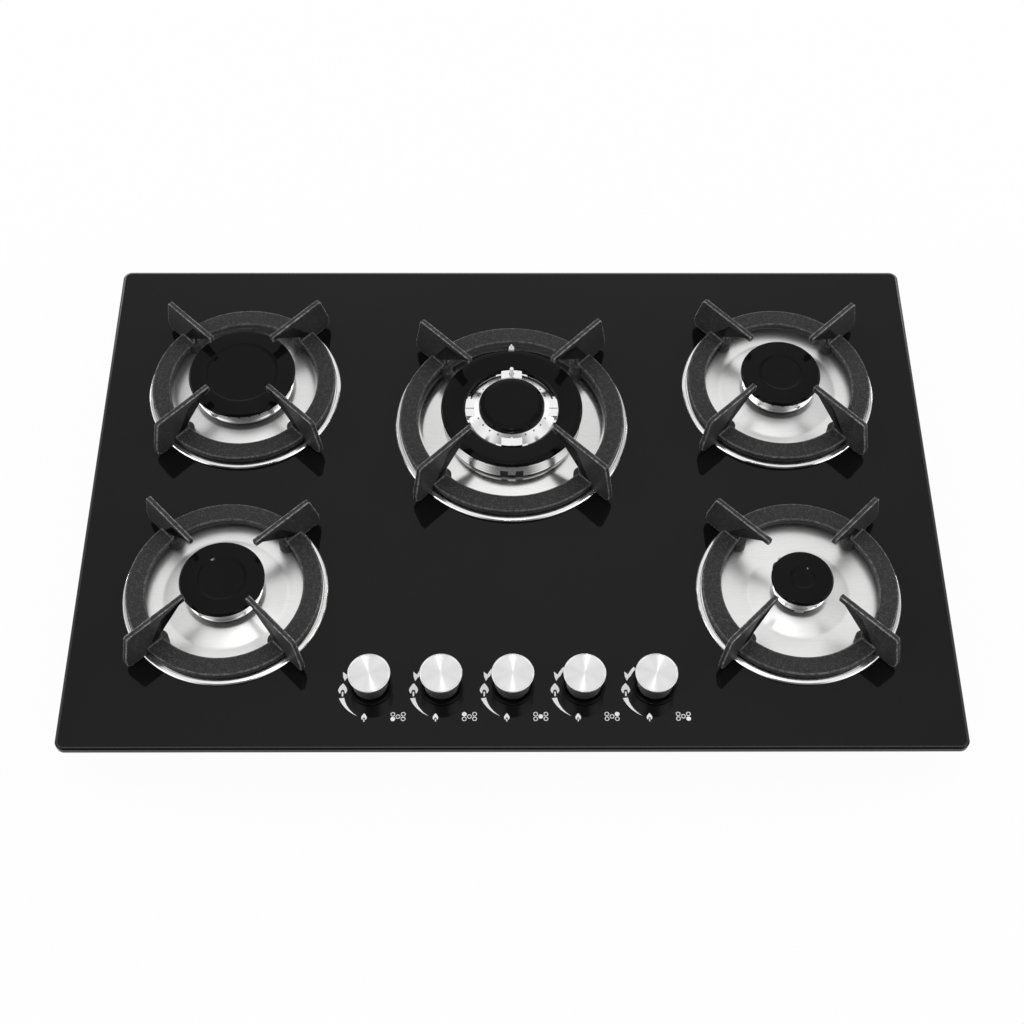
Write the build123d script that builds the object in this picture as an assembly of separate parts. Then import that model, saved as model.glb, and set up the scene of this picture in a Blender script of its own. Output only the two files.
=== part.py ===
"""Built-in gas cooktop: five burners under cast pan supports, on one black glass panel.

Millimetres, +Z up. X runs to the right along the front edge and Y to the back. The origin is the
middle of the cooktop, in the plane of the worktop that the panel's seal rests on.
"""

from build123d import *
import os
from dataclasses import dataclass
from math import atan2, cos, degrees, hypot, pi, radians, sin

# Glass panel and its seal
PANEL_WIDTH = 760.0
PANEL_DEPTH = 510.0
PANEL_THICK = 6.0
PANEL_CORNER = 8.0
PANEL_BEVEL = 1.2
SEAL_THICK = 2.0
SEAL_WIDTH = 9.0
SEAL_INSET = 4.0
GLASS_TOP = SEAL_THICK + PANEL_THICK

# Steel box under the panel, with a notch in each rear corner
BOX_WIDTH = 700.0
BOX_DEPTH = 456.0
BOX_DROP = 58.0
BOX_SHEET = 0.8
BOX_CORNER = 5.0
BOX_FLANGE = 9.0
NOTCH_WIDTH = 40.0
NOTCH_DEPTH = 50.0
VENT_LENGTH = 46.0
VENT_WIDTH = 5.0
VENT_PITCH = 16.0
VENT_COUNT = 7
VENT_ROW_X = 125.0
CLAMP_HOLE_R = 2.25
CLAMP_SPACING_X = 640.0
CLAMP_SPACING_Y = 340.0
FLOOR = BOX_SHEET - BOX_DROP

# Where the burners stand
SIDE_X = 250.0
REAR_Y = 112.5
FRONT_Y = -107.0
WOK_Y = 73.5

# Drip pans, heights over the glass
PAN_SHEET = 0.8
PAN_RIM_HEIGHT = 1.7
PAN_RIM_WIDTH = 2.8
PAN_WALL_RUN = 3.2
PAN_FLOOR = -1.0
PAN_HUMP = 3.0
PAN_HUMP_MARGIN = 8.5
PAN_HUMP_RUN = 7.0
PAN_HOLE_OVERLAP = 2.6

# Burner cups, crowns and caps, heights over the glass
CUP_INSET = 2.5
CUP_WALL = 2.4
CUP_FLOOR = 3.2
THROAT_R = 14.0
THROAT_BORE_R = 8.0
THROAT_PLAY = 0.6
CROWN_FOOT = 10.0
CROWN_HEIGHT = 12.0
CROWN_WALL = 2.6
CROWN_FLOOR = 2.0
CROWN_BEAD = 0.8
CROWN_BEAD_HEIGHT = 1.6
CROWN_SPIGOT = 3.0
CROWN_TAB_WIDTH = 8.0
CROWN_TAB_DROP = 2.6
SPIGOT_PLAY = 0.3
SLOT_WIDTH = 1.8
SLOT_DEPTH = 4.5
CAP_OVERHANG = 3.2
CAP_THICK = 5.2
CAP_NOSE = 2.6
CAP_NOSE_ROUND = 1.2
CAP_TOP_ROUND = 1.5
CAP_DISH_DEPTH = 0.8
CAP_RIM_DROP = 1.8
CAP_PLAY = 0.4

# Wok burner, heights over the glass
WOK_RING_CAP_HOLE_R = 42.8
WOK_RING_WALL_R = 46.0
WOK_INNER_R = 31.0
WOK_INNER_HEIGHT = 27.0
WOK_INNER_CAP_R = 30.2
WOK_INNER_CAP_THICK = 5.6
WOK_DOME_ROUND = 6.0
WOK_CONE_FOOT_R = 41.0
WOK_CONE_FOOT = 21.5
WOK_VALLEY = 19.0
WOK_HOLLOW_HEIGHT = 16.5
WOK_HOLLOW_PEAK = 21.0
WOK_BRIDGE_WIDTH = 19.0
WOK_BRIDGE_HEIGHT = 25.2
WOK_RIB_WIDTH = 1.6
WOK_RIB_HEIGHT = 25.8
WOK_SHOULDER_WIDTH = 29.0
WOK_PORT_ANGLES = (22.5, 37.5, 52.5, 67.5)
WOK_PORT_R = 0.8
WOK_SKIRT_TOP = 13.8
WOK_SKIRT_FOOT = 6.4
WOK_SKIRT_PLAY = 1.0
WOK_STEP_RUN = 0.7
WOK_STEP_DROP = 2.6
WOK_NOTCH_WIDTH = 21.0
WOK_LUG_WIDTH = 7.0
WOK_LUG_FOOT = 7.8
WOK_LUG_HOLE_R = 1.0

# Cast pan supports, heights over the glass
RING_GAP = 4.0
RING_WIDTH = 17.0
RING_THICK = 6.0
RING_HEIGHT = 11.0
RING_ROUND = 1.0
FINGER_THICK = 4.6
FINGER_ROUND = 0.7
FINGER_TIP_DEPTH = 6.6
FINGER_ARM_DEPTH = 7.8
FINGER_ROOT_RUN = 3.5
FINGER_REACH = 9.8
FOOT_REACH = 17.0
FOOT_BEVEL = 4.0
FOOT_KNEE = 12.0
FOOT_CLEAR = 2.4
FINGER_CORNER = 3.5
FINGER_THROAT_ROUND = 4.0
FOOT_ROUND = 1.5
TIP_ROUND = 1.2
BOSS_R = 7.0
BOSS_INSET = 1.5

# Knobs and bezels, heights over the glass
KNOB_PITCH = 60.0
TAP_SETBACK = 31.0
KNOB_Y = TAP_SETBACK - BOX_DEPTH / 2
KNOB_TOP_R = 18.0
KNOB_FOOT_R = 14.6
KNOB_TOP = 25.0
KNOB_FOOT = 4.4
KNOB_EDGE = 0.8
KNOB_WALL = 1.8
KNOB_CROWN = 3.0
KNOB_BOSS_R = 6.6
KNOB_RIBS = 6
KNOB_RIB_WIDTH = 1.4
KNOB_PUSH = 3.2
BEZEL_R = 18.4
BEZEL_HEIGHT = 1.6
BEZEL_FLOOR = 0.8
BEZEL_RIM = 2.4
STEM_HOLE_R = 9.0

# Gas taps
TAP_R = 12.5
TAP_TOP = -12.0
TAP_DROP = 40.0
TAP_FLAT = 2.0
BONNET_THICK = 2.5
BONNET_WIDTH = 34.0
BONNET_CORNER = 5.0
PLUG_R = 8.0
PLUG_LENGTH = 24.0
STEM_R = 4.0
STEM_FLAT = 1.2
STEM_FOOT = 8.0
RUN_PLAY = 0.05
MAGNET_R = 7.0
MAGNET_LENGTH = 24.0
MAGNET_DROP = 20.0

# Gas way
MANIFOLD_R = 8.0
MANIFOLD_BORE_R = 6.5
MANIFOLD_Z = -28.0
MANIFOLD_GAP = 1.0
MANIFOLD_BEND = 26.0
ELBOW_HALF = 12.0
INLET_R = 10.48
INLET_LENGTH = 14.0
INLET_BORE_R = 7.5
TUBE_R = 3.0
TUBE_Z = -36.0
TUBE_BEND = 14.0
TUBE_NUT_R = 5.6
TUBE_NUT_LENGTH = 9.0

# Injector holders under the burners
HOLDER_FLANGE_R = 24.0
HOLDER_FLANGE_THICK = 3.0
STUB_R = 11.0
STUB_DROP = 31.0
STUB_FLOOR = 3.0
GAS_CHAMBER_R = 5.0
INJECTOR_WEB = 3.0
INJECTOR_SEAT = 14.0
INJECTOR_R = 3.0
INJECTOR_HEX = 9.0
INJECTOR_HEX_HEIGHT = 4.0
INJECTOR_NOSE = 4.0
INJECTOR_HOLE_R = 0.6

# Burner rails
RAIL_TOP = -14.0
RAIL_SHEET = 1.2
RAIL_WIDTH = 66.0
RAIL_LIP = 7.0
RAIL_FOOT = 14.0
RAIL_REAR_GAP = 19.0
RAIL_REAR_Y = BOX_DEPTH / 2 - RAIL_REAR_GAP
RAIL_FRONT_GAP = 32.0
RAIL_FRONT_Y = RAIL_FRONT_GAP - BOX_DEPTH / 2
WOK_RAIL_FRONT_Y = -40.0

# Ignition and flame sensing
ELECTRODE_R = 2.5
ELECTRODE_TIP_R = 0.8
ELECTRODE_TIP = 4.0
ELECTRODE_FOOT = 5.0
INNER_ELECTRODE_AT = 38.5
INNER_ELECTRODE_R = 1.7
INNER_ELECTRODE_TOP = 33.0
PROBE_R = 2.2
PROBE_TOP = 19.0
PROBE_ANGLE = 125.0
PROBE_GAP = 4.2
PROBE_LEAD_R = 0.9
PROBE_LEAD_Z = -54.5
PROBE_LEAD_BEND = 4.0
PROBE_LEAD_HOLE_R = 2.5
EAR_R = 5.0
EAR_THICK = 3.0
HOLE_PLAY = 0.6
LEAD_R = 1.3
LEAD_BEND = 10.0
LEAD_HOLE_R = 5.0
SPARK_X = 75.0
SPARK_Y = 10.0
SPARK_WIDTH = 44.0
SPARK_DEPTH = 64.0
SPARK_HEIGHT = 16.0
SPARK_PIN_R = 2.4
SPARK_PIN_LENGTH = 5.0
SPARK_PIN_PITCH = 14.0

# Mains inlet
GLAND_R = 8.0
GLAND_BORE_R = 4.0
GLAND_LENGTH = 16.0
GLAND_Z = -34.0
TERMINAL_WIDTH = 34.0
TERMINAL_DEPTH = 18.0
TERMINAL_HEIGHT = 16.0
TERMINAL_WAY_R = 2.0
TERMINAL_WELL_R = 2.4
TERMINAL_GAP = 36.0

# Screws
RAIL_SCREW_R = 2.0
RAIL_SCREW_LENGTH = 8.0
CUP_SCREW_R = 1.5
SCREW_HEAD_RATIO = 1.8
SCREW_HEAD_HEIGHT = 2.0


@dataclass(frozen=True)
class Burner:
    """One burner: its place, its pan's rim, its crown, and the support that stands round it."""

    name: str
    x: float
    y: float
    tap: int
    pan_r: float
    crown_r: float
    dish_r: float
    slots: int
    tip_r: float
    finger_top: float
    turn: float
    electrode_gap: float = 4.2
    electrode_top: float = 20.0
    tab_at: float = 60.0

    @property
    def cap_r(self):
        return self.crown_r + CAP_OVERHANG

    @property
    def cup_r(self):
        return self.crown_r - CUP_INSET

    @property
    def ring_r(self):
        return self.pan_r - RING_GAP

    @property
    def tap_x(self):
        return self.tap * KNOB_PITCH

    @property
    def electrode_r(self):
        return self.crown_r + self.electrode_gap

    @property
    def probe_place(self):
        reach = self.crown_r + PROBE_GAP
        return reach * cos(radians(PROBE_ANGLE)), reach * sin(radians(PROBE_ANGLE))


BURNERS = [
    Burner("rear_left", -SIDE_X, REAR_Y, -1, 89.3, 46.4, 31.8, 30, 38.5, 44.0, 0.8),
    Burner("front_left", -SIDE_X, FRONT_Y, -2, 89.3, 34.0, 20.0, 22, 38.5, 44.0, -1.6),
    Burner("wok", 0.0, WOK_Y, 0, 107.4, 62.0, 0.0, 40, 53.0, 50.0, 0.4, 7.5, 28.0),
    Burner("rear_right", SIDE_X, REAR_Y, 1, 89.3, 34.0, 18.5, 22, 38.5, 44.0, -1.7),
    Burner("front_right", SIDE_X, FRONT_Y, 2, 89.3, 24.0, 9.6, 16, 38.5, 44.0, 0.6, tab_at=-97.0),
]
WOK = BURNERS[2]
PLAIN_BURNERS = [burner for burner in BURNERS if burner is not WOK]


# Shared makers


def spin(points, rounds=0.0):
    """Solid turned about Z from a closed (radius, height) outline, with the corners rounded."""
    outline = FilletPolyline(*points, radius=rounds, close=True)
    return revolve(make_face(Plane.XZ * outline), Axis.Z)


def ring(outer, inner, low, high):
    """Plain ring about Z."""
    return spin([(inner, low), (outer, low), (outer, high), (inner, high)])


def rod(radius, low, high):
    """Upright cylinder about Z."""
    return Pos(0, 0, low) * extrude(Circle(radius), high - low)


def strip_outline(path, thick):
    """Closed outline of a bent strip: the path, and its mitred parallel on the right hand."""
    parallel = []
    for i, (x, y) in enumerate(path):
        before = path[max(i - 1, 0)]
        after = path[min(i + 1, len(path) - 1)]
        into = atan2(y - before[1], x - before[0]) if i else atan2(after[1] - y, after[0] - x)
        out = atan2(after[1] - y, after[0] - x) if i < len(path) - 1 else into
        middle = (into + out) / 2 if abs(into - out) <= pi else (into + out) / 2 + pi
        reach = thick / cos((out - into) / 2)
        parallel.append((x + abs(reach) * sin(middle), y - abs(reach) * cos(middle)))
    return path + parallel[::-1]


def at_burner(burner, shape):
    """The shape, made about Z over the glass, at its burner."""
    return Pos(burner.x, burner.y, GLASS_TOP) * shape


def around(count, shape, start=0.0):
    """Copies of the shape turned about Z."""
    return [Rot(0, 0, start + i * 360 / count) * shape for i in range(count)]


def d_section(radius, flat):
    """Round section with a flat cut off one side."""
    cut = Pos(0, radius - flat / 2) * Rectangle(2 * radius, flat)
    return Circle(radius) - cut


def write(shape, node):
    """One node's file, with its pieces as separate solids."""
    solids = shape if isinstance(shape, list) else [shape]
    found = [solid for item in solids for solid in item.solids()]
    whole = found[0] if len(found) == 1 else Compound(children=found)
    whole.label = node
    export_step(whole, f"parts/{node}.step")


# Panel, seal and box


def glass_panel():
    outline = RectangleRounded(PANEL_WIDTH, PANEL_DEPTH, PANEL_CORNER)
    for burner in BURNERS:
        outline -= Pos(burner.x, burner.y) * Circle(burner.pan_r - PAN_HOLE_OVERLAP)
        outline -= Pos(burner.tap_x, KNOB_Y) * Circle(STEM_HOLE_R)
    panel = Pos(0, 0, SEAL_THICK) * extrude(outline, PANEL_THICK)
    rim = panel.faces().sort_by(Axis.Z)[-1].outer_wire().edges()
    return chamfer(rim, PANEL_BEVEL)


def worktop_seal():
    outer_x = PANEL_WIDTH - 2 * SEAL_INSET
    outer_y = PANEL_DEPTH - 2 * SEAL_INSET
    corner = PANEL_CORNER - SEAL_INSET
    outer = RectangleRounded(outer_x, outer_y, corner)
    inner = Rectangle(outer_x - 2 * SEAL_WIDTH, outer_y - 2 * SEAL_WIDTH)
    return extrude(outer - inner, SEAL_THICK)


def box_outline(grow):
    """Plan of the box with its rear corners notched, grown by the given amount."""
    wide = BOX_WIDTH / 2 + grow
    deep = BOX_DEPTH / 2 + grow
    notch_x = BOX_WIDTH / 2 - NOTCH_WIDTH + grow
    notch_y = BOX_DEPTH / 2 - NOTCH_DEPTH + grow
    right = [(0, -deep), (wide, -deep), (wide, notch_y), (notch_x, notch_y), (notch_x, deep)]
    left = [(-x, y) for x, y in right[:0:-1]]
    plan = make_face(Polyline(*right[1:], *left, close=True))
    return fillet(plan.vertices(), BOX_CORNER)


def notch_middle(side):
    """Middle of the notch in the rear corner on the given side, in plan."""
    return side * (BOX_WIDTH - NOTCH_WIDTH) / 2, (BOX_DEPTH - NOTCH_DEPTH) / 2


def inlet_x():
    return notch_middle(1)[0]


def notch_wall_y():
    return BOX_DEPTH / 2 - NOTCH_DEPTH


def vents():
    """Louvre slots through the box floor, in one row each side."""
    slots = []
    for side in (-1, 1):
        for i in range(VENT_COUNT):
            y = (i - (VENT_COUNT - 1) / 2) * VENT_PITCH
            slot = extrude(SlotOverall(VENT_LENGTH, VENT_WIDTH), BOX_SHEET * 3)
            slots.append(Pos(side * VENT_ROW_X, y, FLOOR - 2 * BOX_SHEET) * slot)
    return slots


def clamp_places():
    return [
        (sx * CLAMP_SPACING_X / 2, sy * CLAMP_SPACING_Y / 2) for sx in (-1, 1) for sy in (-1, 1)
    ]


def bottom_box():
    outer = box_outline(0)
    inner = box_outline(-BOX_SHEET)
    tray = Pos(0, 0, -BOX_DROP) * extrude(outer, BOX_DROP + SEAL_THICK)
    tray -= Pos(0, 0, FLOOR) * extrude(inner, BOX_DROP + SEAL_THICK)
    flange = Pos(0, 0, SEAL_THICK - BOX_SHEET) * extrude(box_outline(BOX_FLANGE) - inner, BOX_SHEET)
    tray += flange
    for slot in vents():
        tray -= slot
    for x, y in clamp_places():
        tray -= Pos(x, y, 0) * rod(CLAMP_HOLE_R, -BOX_DROP - 1, FLOOR + 1)
    wall = Plane((0, notch_wall_y() - 2 * BOX_SHEET, 0), x_dir=(1, 0, 0), z_dir=(0, 1, 0))
    pipe_hole = Pos(inlet_x(), -MANIFOLD_Z) * Circle(MANIFOLD_R + HOLE_PLAY)
    gland_hole = Pos(notch_middle(-1)[0], -GLAND_Z) * Circle(GLAND_R + RUN_PLAY)
    tray -= extrude(wall * pipe_hole, 4 * BOX_SHEET)
    tray -= extrude(wall * gland_hole, 4 * BOX_SHEET)
    return tray


# Burner rails


def burner_rail(x, front_y, burners):
    """Folded bridge from front to back, standing on the box floor, with lips along both sides."""
    low = FLOOR + RAIL_SHEET
    path = [
        (front_y - RAIL_FOOT, low),
        (front_y, low),
        (front_y, RAIL_TOP),
        (RAIL_REAR_Y, RAIL_TOP),
        (RAIL_REAR_Y, low),
        (RAIL_REAR_Y + RAIL_FOOT, low),
    ]
    section = Plane.YZ * make_face(Polyline(*strip_outline(path, RAIL_SHEET), close=True))
    bridge = extrude(section, RAIL_WIDTH / 2, both=True)
    length = RAIL_REAR_Y - front_y
    lip = Box(RAIL_SHEET, length, RAIL_LIP, align=(Align.CENTER, Align.MIN, Align.MAX))
    for side in (-1, 1):
        bridge += Pos(side * (RAIL_WIDTH - RAIL_SHEET) / 2, front_y, RAIL_TOP) * lip
    for burner in burners:
        for (hole_x, hole_y), radius in rail_holes(burner):
            bridge -= Pos(hole_x, burner.y + hole_y) * rod(radius, RAIL_TOP - 2, RAIL_TOP + 1)
    return Pos(x, 0, 0) * bridge


def rail_holes(burner):
    """Place and radius of each hole in the rail: stub, flange screws, leads and probe."""
    holes = [((0.0, 0.0), STUB_R + THROAT_PLAY), (burner.probe_place, PROBE_LEAD_HOLE_R)]
    holes += [((side * rail_screw_x(), 0.0), RAIL_SCREW_R) for side in (-1, 1)]
    holes += [((0.0, y), LEAD_HOLE_R) for y in lead_offsets(burner)]
    return holes


def rail_screw_x():
    """How far from the burner's middle its holder's flange screws sit."""
    return (HOLDER_FLANGE_R + THROAT_R) / 2


def side_burner_rails():
    """The two outer rails, one under each pair of burners."""
    return [
        burner_rail(side * SIDE_X, RAIL_FRONT_Y, [b for b in PLAIN_BURNERS if b.x * side > 0])
        for side in (-1, 1)
    ]


def wok_burner_rail():
    """The middle rail, with a hole in its front leg for the gas tube."""
    tube_hole = Rot(90, 0, 0) * rod(TUBE_R + HOLE_PLAY, -RAIL_SHEET * 3, RAIL_SHEET * 3)
    return burner_rail(WOK.x, WOK_RAIL_FRONT_Y, [WOK]) - Pos(0, WOK_RAIL_FRONT_Y, TUBE_Z) * tube_hole


def lead_offsets(burner):
    """How far behind the burner's middle each of its ignition leads rises."""
    inner = [INNER_ELECTRODE_AT] if burner is WOK else []
    return [burner.electrode_r] + inner


# Drip pans


def drip_pan(burner):
    """Pressed dish: rolled rim on the glass, sloping wall, flat floor, raised middle."""
    r = burner.pan_r
    wall_top = r - PAN_RIM_WIDTH
    hump_r = burner.crown_r + PAN_HUMP_MARGIN
    skin = [
        (THROAT_R + THROAT_PLAY, PAN_HUMP),
        (hump_r, PAN_HUMP),
        (hump_r + PAN_HUMP_RUN, PAN_FLOOR),
        (wall_top - PAN_WALL_RUN, PAN_FLOOR),
        (wall_top, PAN_RIM_HEIGHT),
        (r - PAN_SHEET, PAN_RIM_HEIGHT),
        (r, PAN_RIM_HEIGHT - PAN_SHEET),
        (r, 0.0),
    ]
    dish = spin(strip_outline(skin, PAN_SHEET))
    for place, radius in probe_holes(burner):
        dish -= Pos(*place) * rod(radius + HOLE_PLAY, PAN_FLOOR - PAN_SHEET, PAN_HUMP)
    return at_burner(burner, dish)


def probe_holes(burner):
    """Place and radius of each ceramic and probe that rises through the pan's raised middle."""
    found = [((0.0, burner.electrode_r), ELECTRODE_R), (burner.probe_place, PROBE_R)]
    if burner is WOK:
        found.append(((0.0, INNER_ELECTRODE_AT), INNER_ELECTRODE_R))
    return found


# Injector holders, burner cups, crowns and caps


def injector_holder(burner):
    """Cast stub through the rail: a chamber the gas tube enters, a web for the jet, a throat."""
    low = RAIL_TOP - STUB_DROP
    top = RAIL_TOP + HOLDER_FLANGE_THICK
    seat = RAIL_TOP - INJECTOR_SEAT
    body = rod(STUB_R, low, RAIL_TOP) + rod(HOLDER_FLANGE_R, RAIL_TOP, top)
    body -= rod(GAS_CHAMBER_R, low + STUB_FLOOR, seat - INJECTOR_WEB)
    body -= rod(INJECTOR_R, seat - INJECTOR_WEB, seat)
    body -= rod(THROAT_BORE_R, seat, top)
    body -= Pos(0, 0, TUBE_Z) * Rot(0, 0, tube_side(burner)) * Rot(0, 90, 0) * rod(TUBE_R, 0, 2 * STUB_R)
    for side in (-1, 1):
        body -= Pos(side * rail_screw_x(), 0) * rod(RAIL_SCREW_R, RAIL_TOP, top)
        body -= Pos(side * cup_screw_x(), 0) * rod(CUP_SCREW_R, RAIL_TOP, top)
    return Pos(burner.x, burner.y) * body


def injector_holders():
    return [injector_holder(burner) for burner in BURNERS]


def injectors():
    """Brass jets screwed into the holders' webs."""
    jet = rod(INJECTOR_R, -INJECTOR_WEB, INJECTOR_HEX_HEIGHT + INJECTOR_NOSE)
    jet += extrude(RegularPolygon(INJECTOR_HEX / 2, 6, major_radius=False), INJECTOR_HEX_HEIGHT)
    jet -= rod(INJECTOR_HOLE_R, -INJECTOR_WEB, INJECTOR_HEX_HEIGHT + INJECTOR_NOSE)
    return [Pos(burner.x, burner.y, RAIL_TOP - INJECTOR_SEAT) * jet for burner in BURNERS]


def cup_screw_x():
    """How far from the burner's middle the screws through its cup's throat sit."""
    return (THROAT_BORE_R + THROAT_R) / 2


def burner_cup(burner):
    """Cast cup on the pan, with a throat down to the injector holder and ears behind."""
    seat = RAIL_TOP + HOLDER_FLANGE_THICK - GLASS_TOP
    r = burner.cup_r
    cup_floor = PAN_HUMP + CUP_FLOOR
    cup = spin(
        [
            (THROAT_BORE_R, seat),
            (THROAT_R, seat),
            (THROAT_R, PAN_HUMP),
            (r, PAN_HUMP),
            (r, CROWN_FOOT),
            (r - CUP_WALL, CROWN_FOOT),
            (r - CUP_WALL, cup_floor),
            (THROAT_BORE_R, cup_floor),
        ]
    )
    for (x, y), radius in probe_holes(burner):
        if hypot(x, y) > r:
            cup += ear(x, y, r)
        cup -= Pos(x, y) * rod(radius, PAN_HUMP, cup_floor)
    for side in (-1, 1):
        cup -= Pos(side * cup_screw_x(), 0) * rod(CUP_SCREW_R, seat, cup_floor)
    return at_burner(burner, cup)


def ear(x, y, cup_r):
    """Flat ear out from the cup's wall, round a ceramic or a probe."""
    reach = hypot(x, y)
    start = cup_r - CUP_WALL / 2
    arm = Box(reach - start, 1.4 * EAR_R, EAR_THICK, align=(Align.MIN, Align.CENTER, Align.MIN))
    arm = Rot(0, 0, degrees(atan2(y, x))) * Pos(start, 0, PAN_HUMP) * arm
    return arm + Pos(x, y) * rod(EAR_R, PAN_HUMP, PAN_HUMP + EAR_THICK)


def tube_side(burner):
    """Compass angle at which the gas tube reaches the burner: the side that faces the taps."""
    if burner is WOK:
        return -90.0
    return 180.0 if burner.x > 0 else 0.0


def flame_slots(burner, radius, wall, top):
    """Slots across the top edge of a flame ring."""
    cut = Box(3 * wall, SLOT_WIDTH, 2 * SLOT_DEPTH)
    return around(burner.slots, Pos(radius - wall / 2, 0, top) * cut, 180 / burner.slots)


def spigot(burner):
    """Thin collar under a crown that drops inside its base."""
    outer = burner.cup_r - CUP_WALL - SPIGOT_PLAY
    return ring(outer, outer - CROWN_WALL, CROWN_FOOT - CROWN_SPIGOT, CROWN_FOOT)


def crown(burner):
    """Flame ring: a bead at the foot, a slotted wall, and a floor with a hole in its middle."""
    r = burner.crown_r
    top = CROWN_FOOT + CROWN_HEIGHT
    wall = r - CROWN_BEAD
    body = [
        (THROAT_BORE_R, CROWN_FOOT),
        (r, CROWN_FOOT),
        (r, CROWN_FOOT + CROWN_BEAD_HEIGHT),
        (wall, CROWN_FOOT + CROWN_BEAD_HEIGHT + CROWN_BEAD),
        (wall, top),
        (wall - CROWN_WALL, top),
        (wall - CROWN_WALL, CROWN_FOOT + CROWN_FLOOR),
        (THROAT_BORE_R, CROWN_FOOT + CROWN_FLOOR),
    ]
    head = spin(body) + spigot(burner) + Rot(0, 0, burner.tab_at) * crown_tab(burner)
    for slot in flame_slots(burner, wall, CROWN_WALL, top):
        head -= slot
    return at_burner(burner, head)


def crown_tab(burner):
    """Tab under a crown's bead that keeps it turned the right way, outside the cup."""
    low = CROWN_FOOT - CROWN_TAB_DROP
    block = Pos(burner.crown_r, 0, low) * rod(CROWN_TAB_WIDTH / 2, 0, CROWN_TAB_DROP)
    return block & ring(burner.crown_r, burner.cup_r + CAP_PLAY, low, CROWN_FOOT)


def wok_crown():
    """Double flame ring: a stepped skirt, a slotted channel, four bridges and a raised cone."""
    burner = WOK
    top = CROWN_FOOT + CROWN_HEIGHT
    wall = burner.crown_r - CROWN_BEAD
    channel = CROWN_FOOT + CROWN_FLOOR
    inner_wall = WOK_INNER_R - CROWN_WALL
    skirt = burner.cup_r + WOK_SKIRT_PLAY
    steps = [(wall + i * WOK_STEP_RUN, WOK_SKIRT_TOP - (i - 1) * WOK_STEP_DROP) for i in (3, 2, 1)]
    body = [
        (THROAT_BORE_R, CROWN_FOOT),
        (skirt, CROWN_FOOT),
        (skirt, WOK_SKIRT_FOOT),
        (steps[0][0], WOK_SKIRT_FOOT),
        *[point for x, z in steps for point in ((x, z), (x - WOK_STEP_RUN, z))],
        (wall, top),
        (wall - CROWN_WALL, top),
        (wall - CROWN_WALL, channel),
        (WOK_RING_WALL_R + CROWN_WALL, channel),
        (WOK_RING_WALL_R + CROWN_WALL, top),
        (WOK_RING_WALL_R, top),
        (WOK_RING_WALL_R, WOK_VALLEY),
        (WOK_CONE_FOOT_R, WOK_VALLEY),
        (WOK_CONE_FOOT_R, WOK_CONE_FOOT),
        (WOK_INNER_R, WOK_INNER_HEIGHT),
        (inner_wall, WOK_INNER_HEIGHT),
        (inner_wall, channel),
        (THROAT_BORE_R, channel),
    ]
    head = spin(body) + spigot(burner)
    lip = WOK_RING_CAP_HOLE_R - CAP_PLAY
    for reach, width, high in (
        (WOK_RING_WALL_R + CROWN_WALL / 2, WOK_SHOULDER_WIDTH, top),
        (lip, WOK_BRIDGE_WIDTH, WOK_BRIDGE_HEIGHT),
        (lip, WOK_RIB_WIDTH, WOK_RIB_HEIGHT),
    ):
        for piece in around(4, bridge(reach, width, high)):
            head += piece
    head -= wok_hollow()
    for slot in flame_slots(burner, wall, CROWN_WALL, top):
        head -= slot
    port = Pos(WOK_INNER_R, 0, WOK_INNER_HEIGHT - 3) * Rot(0, 45, 0) * rod(WOK_PORT_R, -6, 8)
    for angle in WOK_PORT_ANGLES:
        for hole in around(4, port, angle):
            head -= hole
    head -= wok_notch(WOK_NOTCH_WIDTH, WOK_SKIRT_FOOT - 1, burner.crown_r + 2 * CROWN_WALL)
    lug = wok_notch(WOK_LUG_WIDTH, WOK_LUG_FOOT, wall + 2 * WOK_STEP_RUN)
    head += lug - Pos(0, 0, (WOK_LUG_FOOT + WOK_SKIRT_TOP) / 2) * Rot(90, 0, 0) * rod(
        WOK_LUG_HOLE_R, 0, burner.cap_r
    )
    head -= Pos(0, INNER_ELECTRODE_AT) * rod(INNER_ELECTRODE_R + HOLE_PLAY, CROWN_FOOT - CROWN_SPIGOT, 40)
    return at_burner(burner, head)


def wok_notch(width, low, reach):
    """Piece of the wok burner's skirt at its front, down to the given height."""
    block = Box(width, reach, WOK_SKIRT_TOP - low, align=(Align.CENTER, Align.MAX, Align.MIN))
    skirt = WOK.cup_r + WOK_SKIRT_PLAY - CAP_PLAY / 2
    return Pos(0, 0, low) * block & ring(reach, skirt, low, WOK_SKIRT_TOP)


def bridge(reach, width, high):
    """Flat-topped tab from the wok burner's inner ring out to the given radius."""
    rise = high - WOK_VALLEY
    tab = Pos(reach / 2, 0, WOK_VALLEY + rise / 2) * Box(reach, width, rise)
    return tab & ring(reach, WOK_INNER_R - CROWN_WALL / 2, WOK_VALLEY, high)


def wok_hollow():
    """Hollow under the wok burner's cone, open to the cup below."""
    return spin(
        [
            (WOK_INNER_R, CROWN_FOOT - CROWN_SPIGOT),
            (WOK_RING_WALL_R - CROWN_WALL, CROWN_FOOT - CROWN_SPIGOT),
            (WOK_RING_WALL_R - CROWN_WALL, WOK_HOLLOW_HEIGHT),
            (WOK_CONE_FOOT_R, WOK_HOLLOW_HEIGHT),
            (WOK_INNER_R, WOK_HOLLOW_PEAK),
        ]
    )


def cap_section(radius, low, thick, dish_r):
    """Outline of an enamelled cap: flat under, rounded nose, shallow dish in the top."""
    top = low + thick
    lip = [(dish_r, top), (dish_r - CAP_DISH_DEPTH, top - CAP_DISH_DEPTH)]
    return [
        (0, low),
        (radius - CAP_NOSE, low),
        (radius, low + CAP_NOSE),
        (radius - CAP_NOSE / 2, top - CAP_NOSE / 4),
        *lip,
        (0, top - CAP_DISH_DEPTH),
    ]


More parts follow.
